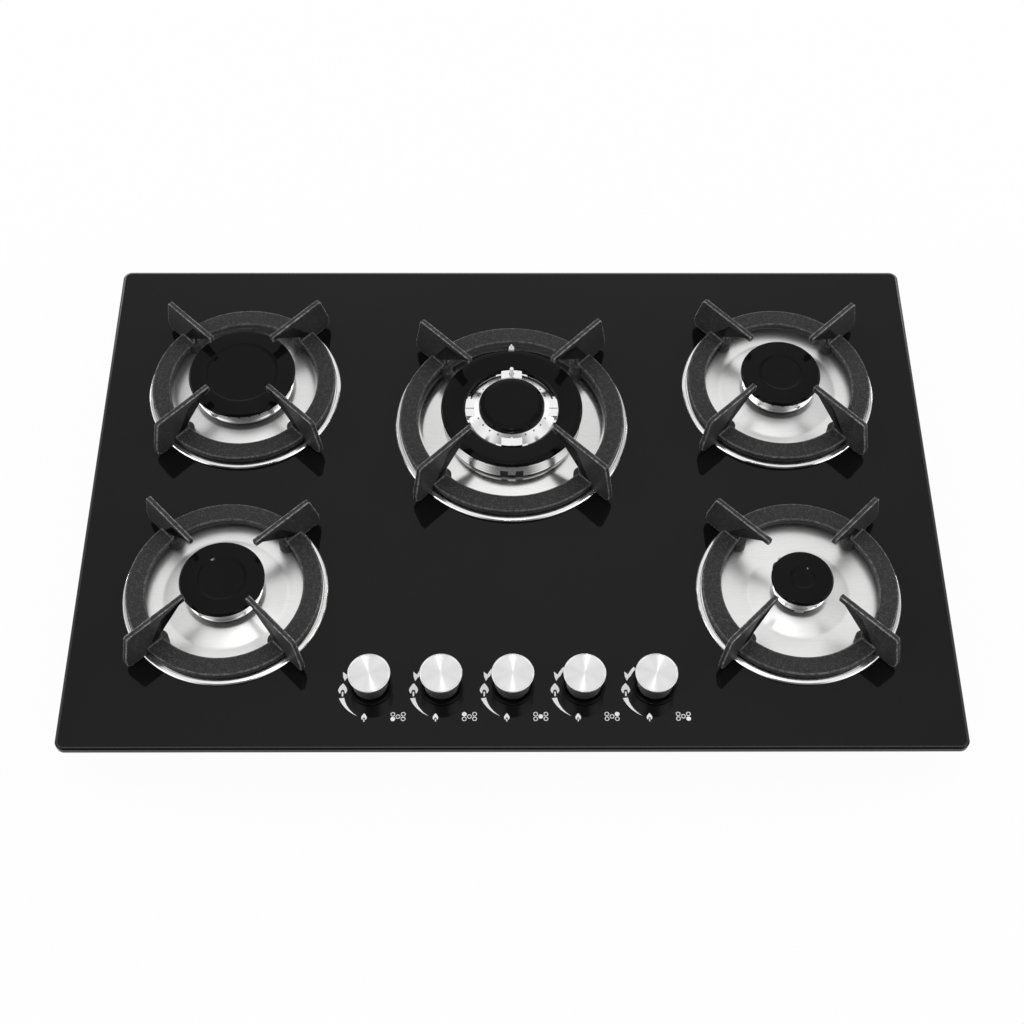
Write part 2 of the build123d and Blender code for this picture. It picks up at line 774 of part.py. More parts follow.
def cap(burner):
    """Enamelled cap with a locating collar inside the crown."""
    low = CROWN_FOOT + CROWN_HEIGHT
    rounds = [0, 0, CAP_NOSE_ROUND, CAP_TOP_ROUND, 0, 0, 0]
    lid = spin(cap_section(burner.cap_r, low, CAP_THICK, burner.dish_r), rounds)
    outer = burner.crown_r - CROWN_BEAD - CROWN_WALL - CAP_PLAY
    return at_burner(burner, lid + ring(outer, outer - CROWN_WALL, low - CAP_RIM_DROP, low + 1))


def wok_ring_cap():
    """Ring-shaped cap over the wok burner's outer channel."""
    low = CROWN_FOOT + CROWN_HEIGHT
    r = WOK.cap_r
    hole = WOK_RING_CAP_HOLE_R
    body = [
        (hole, low),
        (r - CAP_NOSE, low),
        (r, low + CAP_NOSE),
        (r - CAP_NOSE / 2, low + CAP_THICK - CAP_NOSE / 4),
        (r - 2 * CAP_NOSE, low + CAP_THICK),
        (hole, low + CAP_NOSE),
    ]
    outer = WOK.crown_r - CROWN_BEAD - CROWN_WALL - CAP_PLAY
    lid = spin(body, [0, 0, CAP_NOSE_ROUND, CAP_TOP_ROUND, CAP_TOP_ROUND, 0])
    return at_burner(WOK, lid + ring(outer, outer - CROWN_WALL, low - CAP_RIM_DROP, low + 1))


def wok_inner_cap():
    """Domed cap over the wok burner's inner flame ring."""
    low = WOK_INNER_HEIGHT
    r = WOK_INNER_CAP_R
    lid_r = WOK_INNER_R - CROWN_WALL - CAP_PLAY
    top = low + WOK_INNER_CAP_THICK
    body = [
        (0, low - CAP_RIM_DROP),
        (lid_r, low - CAP_RIM_DROP),
        (lid_r, low),
        (r - CAP_NOSE / 2, low),
        (r, low + CAP_NOSE),
        (r - CAP_NOSE, top - CAP_NOSE / 3),
        (0, top),
    ]
    return at_burner(WOK, spin(body, [0, 0, 0, 0, CAP_NOSE_ROUND, WOK_DOME_ROUND, 0]))


# Pan supports


def finger(burner):
    """Upright cast plate from its foot outside the pan to its tip over the burner."""
    ring_in = burner.ring_r - RING_WIDTH
    low = RING_HEIGHT - RING_THICK
    top = burner.finger_top
    heel = burner.ring_r - RING_ROUND
    arm_low = top - FINGER_ARM_DEPTH
    foot_r = burner.pan_r + FOOT_REACH
    outline = [
        (burner.tip_r, top),
        (burner.tip_r, top - FINGER_TIP_DEPTH),
        (ring_in - FINGER_ROOT_RUN, arm_low),
        (ring_in, RING_HEIGHT),
        (ring_in, low),
        (heel, low),
        (heel, FOOT_CLEAR),
        (foot_r - FOOT_BEVEL, FOOT_CLEAR),
        (foot_r, FOOT_CLEAR + FOOT_BEVEL),
        (foot_r, FOOT_CLEAR + FOOT_KNEE),
        (burner.pan_r + FINGER_REACH, top),
    ]
    rounds = [TIP_ROUND, TIP_ROUND, FINGER_THROAT_ROUND, 0, 0, 0, 0, 0, FOOT_ROUND, FOOT_ROUND, FINGER_CORNER]
    face = make_face(Plane.XZ * FilletPolyline(*outline, radius=rounds, close=True))
    plate = extrude(face, FINGER_THICK / 2, both=True)
    sides = plate.faces().filter_by(Axis.Y)
    edges = [edge for side in sides for edge in side.edges() if edge.center().Z > RING_HEIGHT + 4]
    upper = [edge for edge in edges if edge.center().X > burner.tip_r + 2 or edge.center().Z > top - 1]
    return chamfer(upper, FINGER_ROUND)


def pan_support(burner):
    """Cast ring with four fingers and, under each finger's root, a round locating foot."""
    outer = burner.ring_r
    inner = outer - RING_WIDTH
    low = RING_HEIGHT - RING_THICK
    body = spin([(inner, low), (outer, low), (outer, RING_HEIGHT), (inner, RING_HEIGHT)],
                [0, 0, RING_ROUND, RING_ROUND])
    foot = Pos(inner + BOSS_INSET, 0) * rod(BOSS_R, PAN_FLOOR, RING_HEIGHT - RING_ROUND)
    for piece in around(4, finger(burner) + foot, 45 + burner.turn):
        body += piece
    return at_burner(burner, body)


# Knobs, bezels and gas taps


def tap_burners():
    """The burners in the order of their taps, from left to right."""
    return sorted(BURNERS, key=lambda burner: burner.tap)


def at_tap(burner, shape):
    return Pos(burner.tap_x, KNOB_Y, 0) * shape


def knob(burner):
    """Tapered hollow knob with a socket for the stem, held by ribs."""
    slope = (KNOB_TOP_R - KNOB_FOOT_R) / (KNOB_TOP - KNOB_FOOT)
    roof = KNOB_TOP - KNOB_CROWN
    roof_r = KNOB_FOOT_R + slope * (roof - KNOB_FOOT) - KNOB_WALL
    shell = spin(
        [
            (0, KNOB_TOP),
            (0, roof),
            (roof_r, roof),
            (KNOB_FOOT_R - KNOB_WALL, KNOB_FOOT),
            (KNOB_FOOT_R, KNOB_FOOT),
            (KNOB_TOP_R, KNOB_TOP),
        ],
        [0, 0, 0, 0, 0.4, KNOB_EDGE],
    )
    shell += rod(KNOB_BOSS_R, KNOB_FOOT + 1, roof)
    rib_run = KNOB_FOOT_R - KNOB_BOSS_R
    rib = Box(rib_run, KNOB_RIB_WIDTH, roof - KNOB_FOOT - KNOB_PUSH,
              align=(Align.MIN, Align.CENTER, Align.MAX))
    for piece in around(KNOB_RIBS, Pos(KNOB_BOSS_R - 1, 0, roof) * rib):
        shell += piece
    socket = extrude(d_section(STEM_R + RUN_PLAY, STEM_FLAT), stem_top() - KNOB_FOOT + RUN_PLAY)
    return at_tap(burner, Pos(0, 0, GLASS_TOP) * (shell - Pos(0, 0, KNOB_FOOT) * socket))


def stem_top():
    """Height of the stem's top over the glass, inside the knob."""
    return KNOB_TOP - KNOB_CROWN - 1.0


def stem(burner):
    """Spindle with a flat, pushed down through the plug by the knob."""
    low = TAP_TOP - PLUG_LENGTH + STEM_FOOT
    high = GLASS_TOP + stem_top()
    spindle = extrude(d_section(STEM_R, STEM_FLAT), high - low)
    spindle = chamfer(spindle.faces().sort_by(Axis.Z)[-1].edges(), 0.4)
    return at_tap(burner, Pos(0, 0, low) * spindle)


def valve_plug(burner):
    """Turning plug with the stem's socket through it and a gas port across it."""
    plug = rod(PLUG_R, -PLUG_LENGTH, 0)
    plug -= Pos(0, 0, -PLUG_LENGTH + STEM_FOOT - KNOB_PUSH - 1) * extrude(
        d_section(STEM_R + RUN_PLAY, STEM_FLAT), PLUG_LENGTH)
    plug -= Pos(0, 0, -PLUG_LENGTH + 2.2) * Rot(90, 0, 0) * rod(1.5, 0, PLUG_R + 1)
    return at_tap(burner, Pos(0, 0, TAP_TOP - RUN_PLAY) * plug)


def manifold_y():
    """Middle line of the manifold, in front of the taps."""
    return KNOB_Y - TAP_R - MANIFOLD_GAP - MANIFOLD_R


def tap_body():
    """Cast tap: bored body, boss to the manifold, boss to the gas tube, magnet housing."""
    body = rod(TAP_R, TAP_TOP - TAP_DROP, TAP_TOP)
    front = Plane((0, -TAP_R / 2, MANIFOLD_Z), x_dir=(1, 0, 0), z_dir=(0, -1, 0))
    rear = Plane((0, TAP_R / 2, TUBE_Z), x_dir=(1, 0, 0), z_dir=(0, 1, 0))
    body += extrude(front * Circle(MANIFOLD_R - TAP_FLAT), TAP_R / 2 + MANIFOLD_GAP)
    body += extrude(rear * Circle(TUBE_NUT_R), TAP_R / 2 + TUBE_NUT_LENGTH)
    body += Pos(0, 0, TAP_TOP - MAGNET_DROP) * Rot(0, -90, 0) * rod(MAGNET_R, 0, TAP_R + MAGNET_LENGTH)
    body -= rod(PLUG_R + RUN_PLAY, TAP_TOP - PLUG_LENGTH - 2 * RUN_PLAY, TAP_TOP + 1)
    body -= extrude(rear * Circle(TUBE_R), 2 * TAP_R + TUBE_NUT_LENGTH)
    return body


def gas_valves():
    """The five taps, each with its bonnet on top."""
    bonnet = RectangleRounded(BONNET_WIDTH, 2 * TAP_R, BONNET_CORNER) - Circle(STEM_R + HOLE_PLAY)
    plate = Pos(0, 0, TAP_TOP) * extrude(bonnet, BONNET_THICK)
    body = tap_body()
    return [at_tap(burner, shape) for burner in tap_burners() for shape in (body, plate)]


def knob_bezels():
    """Dark rings round the knob feet, each with a sleeve through the glass for the stem."""
    sleeve_r = STEM_HOLE_R - HOLE_PLAY / 2
    body = [
        (STEM_R + HOLE_PLAY, -PANEL_THICK),
        (sleeve_r, -PANEL_THICK),
        (sleeve_r, 0),
        (BEZEL_R, 0),
        (BEZEL_R, BEZEL_HEIGHT / 2),
        (BEZEL_R - BEZEL_RIM / 3, BEZEL_HEIGHT),
        (BEZEL_R - BEZEL_RIM, BEZEL_HEIGHT),
        (BEZEL_R - BEZEL_RIM, BEZEL_FLOOR),
        (STEM_R + HOLE_PLAY, BEZEL_FLOOR),
    ]
    bezel = Pos(0, 0, GLASS_TOP) * spin(body)
    return [at_tap(burner, bezel) for burner in tap_burners()]


# Gas way


def pipe(path, radius):
    """Round bar along a path of straight runs and tangent arcs."""
    start = Plane(origin=path @ 0, z_dir=path % 0)
    return sweep(start * Circle(radius), path)


def gas_manifold():
    """Pipe along the taps, bent once, to the inlet at the rear right corner."""
    y = manifold_y()
    left = -2 * KNOB_PITCH - TAP_R
    end_y = notch_middle(1)[1] - ELBOW_HALF
    path = FilletPolyline(
        (left, y, MANIFOLD_Z), (inlet_x(), y, MANIFOLD_Z), (inlet_x(), end_y, MANIFOLD_Z),
        radius=MANIFOLD_BEND,
    )
    tube = pipe(path, MANIFOLD_R) - pipe(path, MANIFOLD_BORE_R)
    tube += Pos(left, y, MANIFOLD_Z) * Rot(0, 90, 0) * rod(MANIFOLD_BORE_R, 0, MANIFOLD_R / 2)
    for burner in tap_burners():
        tube -= Pos(burner.tap_x, y + MANIFOLD_R - TAP_FLAT / 2, MANIFOLD_Z) * Box(
            2 * TAP_R, TAP_FLAT, 2 * MANIFOLD_R)
    return tube


def inlet_elbow():
    """Block on the end of the manifold with a threaded end that points down."""
    x, y = notch_middle(1)
    block = fillet(Box(*[2 * ELBOW_HALF] * 3).edges().filter_by(Axis.Z), ELBOW_HALF / 3)
    end = -ELBOW_HALF - INLET_LENGTH
    block += rod(INLET_R, end, -ELBOW_HALF)
    block -= rod(INLET_BORE_R, end - 1, MANIFOLD_BORE_R)
    block -= Rot(90, 0, 0) * rod(MANIFOLD_BORE_R, 0, 2 * ELBOW_HALF)
    return Pos(x, y, MANIFOLD_Z) * block


def tube_path(burner):
    """Way of one gas tube: back from its tap, then across to its burner."""
    start_y = KNOB_Y + TAP_R
    if burner is WOK:
        return Line((burner.tap_x, start_y, TUBE_Z), (0, burner.y - GAS_CHAMBER_R, TUBE_Z))
    side = 1 if burner.x > 0 else -1
    end_x = burner.x - side * GAS_CHAMBER_R
    points = [
        (burner.tap_x, start_y, TUBE_Z),
        (burner.tap_x, burner.y, TUBE_Z),
        (end_x, burner.y, TUBE_Z),
    ]
    return FilletPolyline(*points, radius=TUBE_BEND)


def gas_tubes():
    return [pipe(tube_path(burner), TUBE_R) for burner in BURNERS]


# Ignition, flame sensing and mains


def electrodes():
    """Ceramic rods with steel tips behind each crown, and one inside the wok burner."""
    found = []
    for burner in BURNERS:
        ceramic = rod(ELECTRODE_R, -ELECTRODE_FOOT, burner.electrode_top - ELECTRODE_TIP)
        tip = rod(ELECTRODE_TIP_R, burner.electrode_top - ELECTRODE_TIP, burner.electrode_top)
        found.append(at_burner(burner, Pos(0, burner.electrode_r) * (ceramic + tip)))
    inner = rod(INNER_ELECTRODE_R, -ELECTRODE_FOOT, INNER_ELECTRODE_TOP)
    found.append(at_burner(WOK, Pos(0, INNER_ELECTRODE_AT) * inner))
    return found


def thermocouples():
    """Round-nosed probes beside each crown."""
    probe = rod(PROBE_R, -ELECTRODE_FOOT, PROBE_TOP)
    probe = fillet(probe.faces().sort_by(Axis.Z)[-1].edges(), PROBE_R * 0.8)
    return [at_burner(burner, Pos(*burner.probe_place) * probe) for burner in BURNERS]


def probe_lead_path(burner):
    """Way of one thermocouple's lead: down, over the floor, and up into the magnet housing."""
    x, y = burner.probe_place
    probe = (burner.x + x, burner.y + y)
    magnet_x = burner.tap_x - TAP_R - MAGNET_LENGTH
    magnet_z = TAP_TOP - MAGNET_DROP
    rise = (magnet_x - 1.5 * PROBE_LEAD_BEND, KNOB_Y)
    return FilletPolyline(
        (*probe, GLASS_TOP - ELECTRODE_FOOT),
        (*probe, PROBE_LEAD_Z),
        (*rise, PROBE_LEAD_Z),
        (*rise, magnet_z),
        (magnet_x, KNOB_Y, magnet_z),
        radius=PROBE_LEAD_BEND,
    )


def spark_leads(side):
    """Each lead on one side of the generator: its pin, burner and offset, in order from front."""
    face_x = SPARK_X + side * SPARK_WIDTH / 2
    ends = [(b, y) for b in BURNERS if (1 if b.x > 0 else -1) == side for y in lead_offsets(b)]
    ends.sort(key=lambda end: (end[0].y + end[1] - SPARK_Y) / abs(end[0].x - face_x))
    middle = (len(ends) - 1) / 2
    z = FLOOR + SPARK_HEIGHT / 2
    return [
        ((face_x, SPARK_Y + (i - middle) * SPARK_PIN_PITCH, z), *end) for i, end in enumerate(ends)
    ]


def spark_generator():
    case = fillet(Box(SPARK_WIDTH, SPARK_DEPTH, SPARK_HEIGHT).edges().filter_by(Axis.Z), 3)
    unit = Pos(SPARK_X, SPARK_Y, FLOOR + SPARK_HEIGHT / 2) * case
    for side in (-1, 1):
        for place, _, _ in spark_leads(side):
            unit += Pos(*place) * Rot(0, side * 90, 0) * rod(SPARK_PIN_R, -1, SPARK_PIN_LENGTH)
    return unit


def lead_path(side, place, burner, offset):
    """Way of one ignition lead: out of its pin, over the floor, and up to its electrode."""
    x, y, z = place
    start = x + side * SPARK_PIN_LENGTH
    end = (burner.x, burner.y + offset)
    return FilletPolyline(
        (start, y, z),
        (start + side * 2 * LEAD_BEND, y, z),
        (*end, z),
        (*end, GLASS_TOP - ELECTRODE_FOOT),
        radius=LEAD_BEND,
    )


def burner_leads():
    """Leads from the generator's pins to the electrodes, and from the probes to the magnets."""
    sparks = [
        pipe(lead_path(side, *lead), LEAD_R) for side in (-1, 1) for lead in spark_leads(side)
    ]
    return sparks + [pipe(probe_lead_path(burner), PROBE_LEAD_R) for burner in BURNERS]


def cord_gland():
    """Bored gland in the left notch's wall, with a nut inside the box."""
    body = ring(GLAND_R, GLAND_BORE_R, -BOX_SHEET - 4, GLAND_LENGTH - 4)
    body += ring(GLAND_R + 3, GLAND_BORE_R, 0, 4)
    body += extrude(RegularPolygon(GLAND_R + 2, 6, major_radius=False) - Circle(GLAND_R - 1),
                    -4).moved(Location((0, 0, -BOX_SHEET)))
    wall = Plane((notch_middle(-1)[0], notch_wall_y(), GLAND_Z), x_dir=(1, 0, 0), z_dir=(0, 1, 0))
    return wall.location * body


def terminal_block():
    """Three-way block on the box floor, below the cord gland."""
    size = (TERMINAL_WIDTH, TERMINAL_DEPTH, TERMINAL_HEIGHT)
    block = Box(*size, align=(Align.CENTER, Align.CENTER, Align.MIN))
    way = Rot(90, 0, 0) * rod(TERMINAL_WAY_R, -TERMINAL_DEPTH, TERMINAL_DEPTH)
    well = rod(TERMINAL_WELL_R, TERMINAL_HEIGHT / 2, TERMINAL_HEIGHT)
    for i in (-1, 0, 1):
        block -= Pos(i * TERMINAL_WIDTH / 3, 0, TERMINAL_HEIGHT / 2) * way
        block -= Pos(i * TERMINAL_WIDTH / 3, 0, 0) * well
    return Pos(notch_middle(-1)[0], notch_wall_y() - TERMINAL_GAP, FLOOR) * block


def screw(radius, length):
    """Pan-head screw, head up, seated at z = 0."""
    head = rod(radius * SCREW_HEAD_RATIO, 0, SCREW_HEAD_HEIGHT)
    head = chamfer(head.faces().sort_by(Axis.Z)[-1].edges(), SCREW_HEAD_HEIGHT / 3)
    return head + rod(radius, -length, 0)


def screws():
    """Two screws hold each injector holder to its rail, and two hold its cup down on it."""
    rail_seat = RAIL_TOP + HOLDER_FLANGE_THICK
    cup_seat = GLASS_TOP + PAN_HUMP + CUP_FLOOR
    short = screw(RAIL_SCREW_R, RAIL_SCREW_LENGTH)
    long = screw(CUP_SCREW_R, cup_seat - RAIL_TOP)
    return [
        Pos(burner.x + side * reach, burner.y, seat) * piece
        for burner in BURNERS
        for side in (-1, 1)
        for reach, seat, piece in ((rail_screw_x(), rail_seat, short), (cup_screw_x(), cup_seat, long))
    ]


def build():
    os.makedirs("parts", exist_ok=True)
    write(glass_panel(), "glass_panel")
    write(worktop_seal(), "worktop_seal")
    write(bottom_box(), "bottom_box")
    write(side_burner_rails(), "side_burner_rails")
    write(wok_burner_rail(), "wok_burner_rail")
    write(injector_holders(), "injector_holders")
    for burner in BURNERS:
        write(drip_pan(burner), f"drip_pan_{burner.name}")
        write(burner_cup(burner), f"burner_cup_{burner.name}")
        write(pan_support(burner), f"pan_support_{burner.name}")
        write(knob(burner), f"knob_{burner.name}")
        write(stem(burner), f"stem_{burner.name}")
        write(valve_plug(burner), f"valve_plug_{burner.name}")
    for burner in PLAIN_BURNERS:
        write(crown(burner), f"crown_{burner.name}")
        write(cap(burner), f"cap_{burner.name}")
    write(wok_crown(), "crown_wok")
    write(wok_ring_cap(), "cap_wok_outer")
    write(wok_inner_cap(), "cap_wok_inner")
    write(gas_valves(), "gas_valves")
    write(knob_bezels(), "knob_bezels")
    write(gas_manifold(), "gas_manifold")
    write(inlet_elbow(), "inlet_elbow")
    write(gas_tubes(), "gas_tubes")
    write(injectors(), "injectors")
    write(electrodes(), "electrodes")
    write(thermocouples(), "thermocouples")
    write(spark_generator(), "spark_generator")
    write(burner_leads(), "burner_leads")
    write(cord_gland(), "cord_gland")
    write(terminal_block(), "terminal_block")
    write(screws(), "screws")


build()
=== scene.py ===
"""Looks of the gas cooktop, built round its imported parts.

Metres, +Z up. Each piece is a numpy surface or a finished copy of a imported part, with its place in
its mesh, and each finish is a small node tree that reads Object coordinates or the piece's own map.
A shell is a pair (points, faces), made in millimetres over the glass and about its piece's centre.
"""

import math
from functools import partial

import bmesh
import bpy
import numpy as np
from bpy.props import FloatProperty, FloatVectorProperty, IntProperty, PointerProperty
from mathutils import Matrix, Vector


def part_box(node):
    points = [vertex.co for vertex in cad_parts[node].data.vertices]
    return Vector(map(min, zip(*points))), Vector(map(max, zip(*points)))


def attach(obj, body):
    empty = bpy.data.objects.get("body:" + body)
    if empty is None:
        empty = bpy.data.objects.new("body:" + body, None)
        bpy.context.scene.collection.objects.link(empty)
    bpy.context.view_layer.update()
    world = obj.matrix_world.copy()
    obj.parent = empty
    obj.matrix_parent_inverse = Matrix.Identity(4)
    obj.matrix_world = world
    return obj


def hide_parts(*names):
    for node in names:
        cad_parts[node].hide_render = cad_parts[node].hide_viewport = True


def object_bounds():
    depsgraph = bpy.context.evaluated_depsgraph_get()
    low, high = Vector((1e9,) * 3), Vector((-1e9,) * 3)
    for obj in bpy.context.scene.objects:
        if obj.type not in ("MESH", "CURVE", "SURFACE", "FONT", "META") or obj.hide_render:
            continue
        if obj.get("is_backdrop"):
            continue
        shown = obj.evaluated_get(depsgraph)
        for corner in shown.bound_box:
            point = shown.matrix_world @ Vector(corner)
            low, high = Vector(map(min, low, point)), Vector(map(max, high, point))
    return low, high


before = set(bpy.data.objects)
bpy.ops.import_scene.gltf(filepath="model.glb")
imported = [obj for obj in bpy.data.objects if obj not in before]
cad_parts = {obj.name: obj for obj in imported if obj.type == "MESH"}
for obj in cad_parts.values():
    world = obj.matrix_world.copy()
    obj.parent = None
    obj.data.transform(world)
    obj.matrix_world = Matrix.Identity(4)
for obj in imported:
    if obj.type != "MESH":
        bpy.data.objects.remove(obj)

bl_info = {
    "name": "Gas Cooktop",
    "version": (1, 0, 0),
    "blender": (4, 5, 0),
    "location": "View3D > Sidebar > Cooktop",
    "description": "Dresses a built-in gas cooktop: glass, supports, burners, pans and knobs",
    "category": "Object",
}

MM = 0.001
TAU = 2 * math.pi
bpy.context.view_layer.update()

GLASS_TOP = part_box("glass_panel")[1].z
NAMES = ("rear_left", "front_left", "wok", "rear_right", "front_right")
PLAIN = tuple(name for name in NAMES if name != "wok")


def middle(node):
    """Middle of a part's box in plan, as (x, y)."""
    low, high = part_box(node)
    return (low.x + high.x) / 2, (low.y + high.y) / 2


def over_glass(node):
    """Height of a part's top over the glass, in millimetres."""
    return (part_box(node)[1].z - GLASS_TOP) / MM


CENTRES = {name: middle(f"drip_pan_{name}") for name in NAMES}
TAPS = {name: middle(f"valve_plug_{name}") for name in NAMES}


# Sizes and colours that can be set in the sidebar


class CooktopSizes(bpy.types.PropertyGroup):
    """Fine sizes of the cooktop's forms."""

    segments: IntProperty(
        name="Round steps",
        description="Steps round a turned piece",
        default=160,
        min=48,
        max=400,
    )
    print_lift: FloatProperty(
        name="Print height",
        description="Height of the white print over the glass",
        default=0.04 * MM,
        subtype="DISTANCE",
        unit="LENGTH",
    )
    finger_round: FloatProperty(
        name="Cast edge",
        description="Rounding of the edges of the cast fingers",
        default=0.75 * MM,
        subtype="DISTANCE",
        unit="LENGTH",
    )
    fillet: FloatProperty(
        name="Cast fillet",
        description="Fillet where a finger grows out of its ring",
        default=1.3 * MM,
        subtype="DISTANCE",
        unit="LENGTH",
    )


class CooktopColours(bpy.types.PropertyGroup):
    """Base colours of the cooktop's finishes."""

    glass: FloatVectorProperty(
        name="Glass",
        description="Black of the glass",
        default=(0.0045, 0.0045, 0.0047),
        subtype="COLOR",
    )
    cast: FloatVectorProperty(
        name="Cast",
        description="Enamel of the pan supports",
        default=(0.031, 0.031, 0.0314),
        subtype="COLOR",
    )
    enamel: FloatVectorProperty(
        name="Caps",
        description="Enamel of the burner caps",
        default=(0.0035, 0.0035, 0.0036),
        subtype="COLOR",
    )
    steel: FloatVectorProperty(
        name="Pans",
        description="Brushed steel of the pans",
        default=(0.84, 0.84, 0.835),
        subtype="COLOR",
    )
    aluminium: FloatVectorProperty(
        name="Crowns",
        description="Cast aluminium of the crowns",
        default=(0.86, 0.86, 0.86),
        subtype="COLOR",
    )
    knob: FloatVectorProperty(
        name="Knobs",
        description="Metal of the knobs",
        default=(0.80, 0.80, 0.80),
        subtype="COLOR",
    )
    ink: FloatVectorProperty(
        name="Print",
        description="White print on the glass",
        default=(0.84, 0.84, 0.84),
        subtype="COLOR",
    )
    floor: FloatVectorProperty(
        name="Floor",
        description="Floor round the cooktop",
        default=(0.86, 0.86, 0.86),
        subtype="COLOR",
    )


# Shader maths


class Wire:
    """A node's output that Python's operators work on: each adds one Math node."""

    def __init__(self, nodes, socket):
        self.nodes = nodes
        self.socket = socket

    def math(self, operation, *values):
        settings = {"operation": operation}
        return self.nodes.node("ShaderNodeMath", settings, dict(enumerate(values)))

    def __add__(self, other):
        return self.math("ADD", self, other)

    def __sub__(self, other):
        return self.math("SUBTRACT", self, other)

    def __mul__(self, other):
        return self.math("MULTIPLY", self, other)

    def __rsub__(self, other):
        return self.math("SUBTRACT", other, self)

    def __neg__(self):
        return self.math("MULTIPLY", self, -1.0)

    def __abs__(self):
        return self.math("ABSOLUTE", self)

    __radd__ = __add__
    __rmul__ = __mul__

    def sine(self):
        return self.math("SINE", self)

    def clear(self, low, high):
        """0 below low, 1 over high, smooth between."""
        settings = {"interpolation_type": "SMOOTHSTEP"}
        values = {"Value": self, "From Min": low, "From Max": high}
        return self.nodes.node("ShaderNodeMapRange", settings, values)


class Nodes:
    """A node tree while it is built."""

    def __init__(self, owner):
        owner.use_nodes = True
        self.tree = owner.node_tree
        self.tree.nodes.clear()

    def node(self, kind, settings=None, values=None, out=0):
        """A node of a kind: settings first, then socket values or links. Returns one output."""
        made = self.tree.nodes.new(kind)
        for key, value in (settings or {}).items():
            setattr(made, key, value)
        for key, value in (values or {}).items():
            if isinstance(value, Wire):
                self.tree.links.new(value.socket, made.inputs[key])
            else:
                made.inputs[key].default_value = value
        return Wire(self, made.outputs[out]) if made.outputs else None

    def part(self, vector, axis):
        """One of a vector's three numbers."""
        return self.node("ShaderNodeSeparateXYZ", values={0: vector}, out="XYZ".index(axis))


class Finish(Nodes):
    """One procedural finish while its node tree is built."""

    def __init__(self, name):
        self.material = bpy.data.materials.new(name)
        super().__init__(self.material)

    def place(self):
        """Object coordinates, in metres."""
        return self.node("ShaderNodeTexCoord", out=3)

    def reach(self):
        """Distance from the piece's axis, in metres, read from its own map."""
        own = self.node("ShaderNodeUVMap", {"uv_map": "own"})
        return self.node("ShaderNodeVectorMath", {"operation": "LENGTH"}, {0: own}, out=1)

    def wear_and_highlight(self):
        """The piece's own mark of its worn edges and their painted highlight, 0 to 1."""
        return self.node("ShaderNodeAttribute", {"attribute_name": "wear_and_highlight"}, out=2)

    def stretch(self, vector, scale):
        """The vector with each of its numbers times a scale of its own."""
        return self.node("ShaderNodeMapping", values={"Vector": vector, "Scale": scale})

    def noise(self, vector, scale, detail=2.0, rough=0.5):
        values = {"Vector": vector, "Scale": scale, "Detail": detail, "Roughness": rough}
        return self.node("ShaderNodeTexNoise", values=values)

    def blend(self, factor, low, high):
        """Colour between two, each a wire or three numbers."""
        ends = {i: end if isinstance(end, Wire) else (*end, 1) for i, end in ((6, low), (7, high))}
        settings = {"data_type": "RGBA", "clamp_factor": True}
        return self.node("ShaderNodeMix", settings, {0: factor, **ends}, out=2)

    def shades(self, factor, colour, low, high):
        """One colour times a number that goes from low to high with the factor."""
        dark, light = (tuple(channel * level for channel in colour) for level in (low, high))
        return self.blend(factor, dark, light)

    def bump(self, height, depth):
        """Normals of a relief whose height runs from 0 to a depth in metres."""
        return self.node("ShaderNodeBump", values={"Height": height, "Distance": depth})

    def close(self, values):
        """Principled surface with these socket values."""
        shader = self.node("ShaderNodeBsdfPrincipled", values=values)
        self.node("ShaderNodeOutputMaterial", values={"Surface": shader})
        return self.material


def colours():
    """Colours as set in the sidebar."""
    return bpy.context.scene.cooktop_colours


def sizes():
    """Sizes as set in the sidebar, in metres."""
    return bpy.context.scene.cooktop_sizes


# Finishes


def black_glass():
    """Near-black gloss with a faint uneven film."""
    f = Finish("gloss_glass")
    film = f.noise(f.place(), 9.0, 3.0)
    return f.close(
        {
            "Base Color": f.shades(film, colours().glass, 0.85, 1.2),
            "Roughness": 0.03 + film * 0.03,
            "Specular IOR Level": 0.165,
        }
    )


# Pale grey of bare metal, blended onto the edges for wear and as a painted highlight
BARE_AND_HIGHLIGHT_GREY = (0.27, 0.27, 0.27)


def cast_enamel():
    """Matt black over a fine sandy casting, with pale grains on its edges, for wear and as a painted
    highlight.
    """
    f = Finish("cast_enamel")
    place = f.place()
    grain = f.noise(place, 800.0, 3.0, 0.7)
    lumps = f.noise(place, 260.0, 2.0)
    speck = (grain * 0.75 + lumps * 0.25).clear(0.46, 0.68)
    # Pale edges: wear, and a painted highlight of the rounded edges, the ring and the coves
    edge = f.wear_and_highlight() * (0.18 + (grain * 0.6 + lumps * 0.4).clear(0.42, 0.62) * 0.82)
    tone = f.shades(speck * 0.9, colours().cast, 0.7, 2.4)
    return f.close(
        {
            "Base Color": f.blend(edge, tone, BARE_AND_HIGHLIGHT_GREY),
            "Roughness": 0.42 + lumps * 0.16 - edge * 0.12,
            "Normal": f.bump(grain * 0.65 + lumps * 0.35, 0.10 * MM),
            "Specular IOR Level": 0.2,
        }
    )


def cap_enamel():
    """Glossy black enamel with slight orange peel."""
    f = Finish("cap_enamel")
    place = f.place()
    peel = f.noise(place, 420.0, 2.0)
    tone = f.noise(place, 60.0, 2.0)
    return f.close(
        {
            "Base Color": f.shades(tone, colours().enamel, 0.85, 1.2),
            "Roughness": 0.05 + tone * 0.05,
            "Normal": f.bump(peel, 0.004 * MM),
            "Specular IOR Level": 0.09,
        }
    )


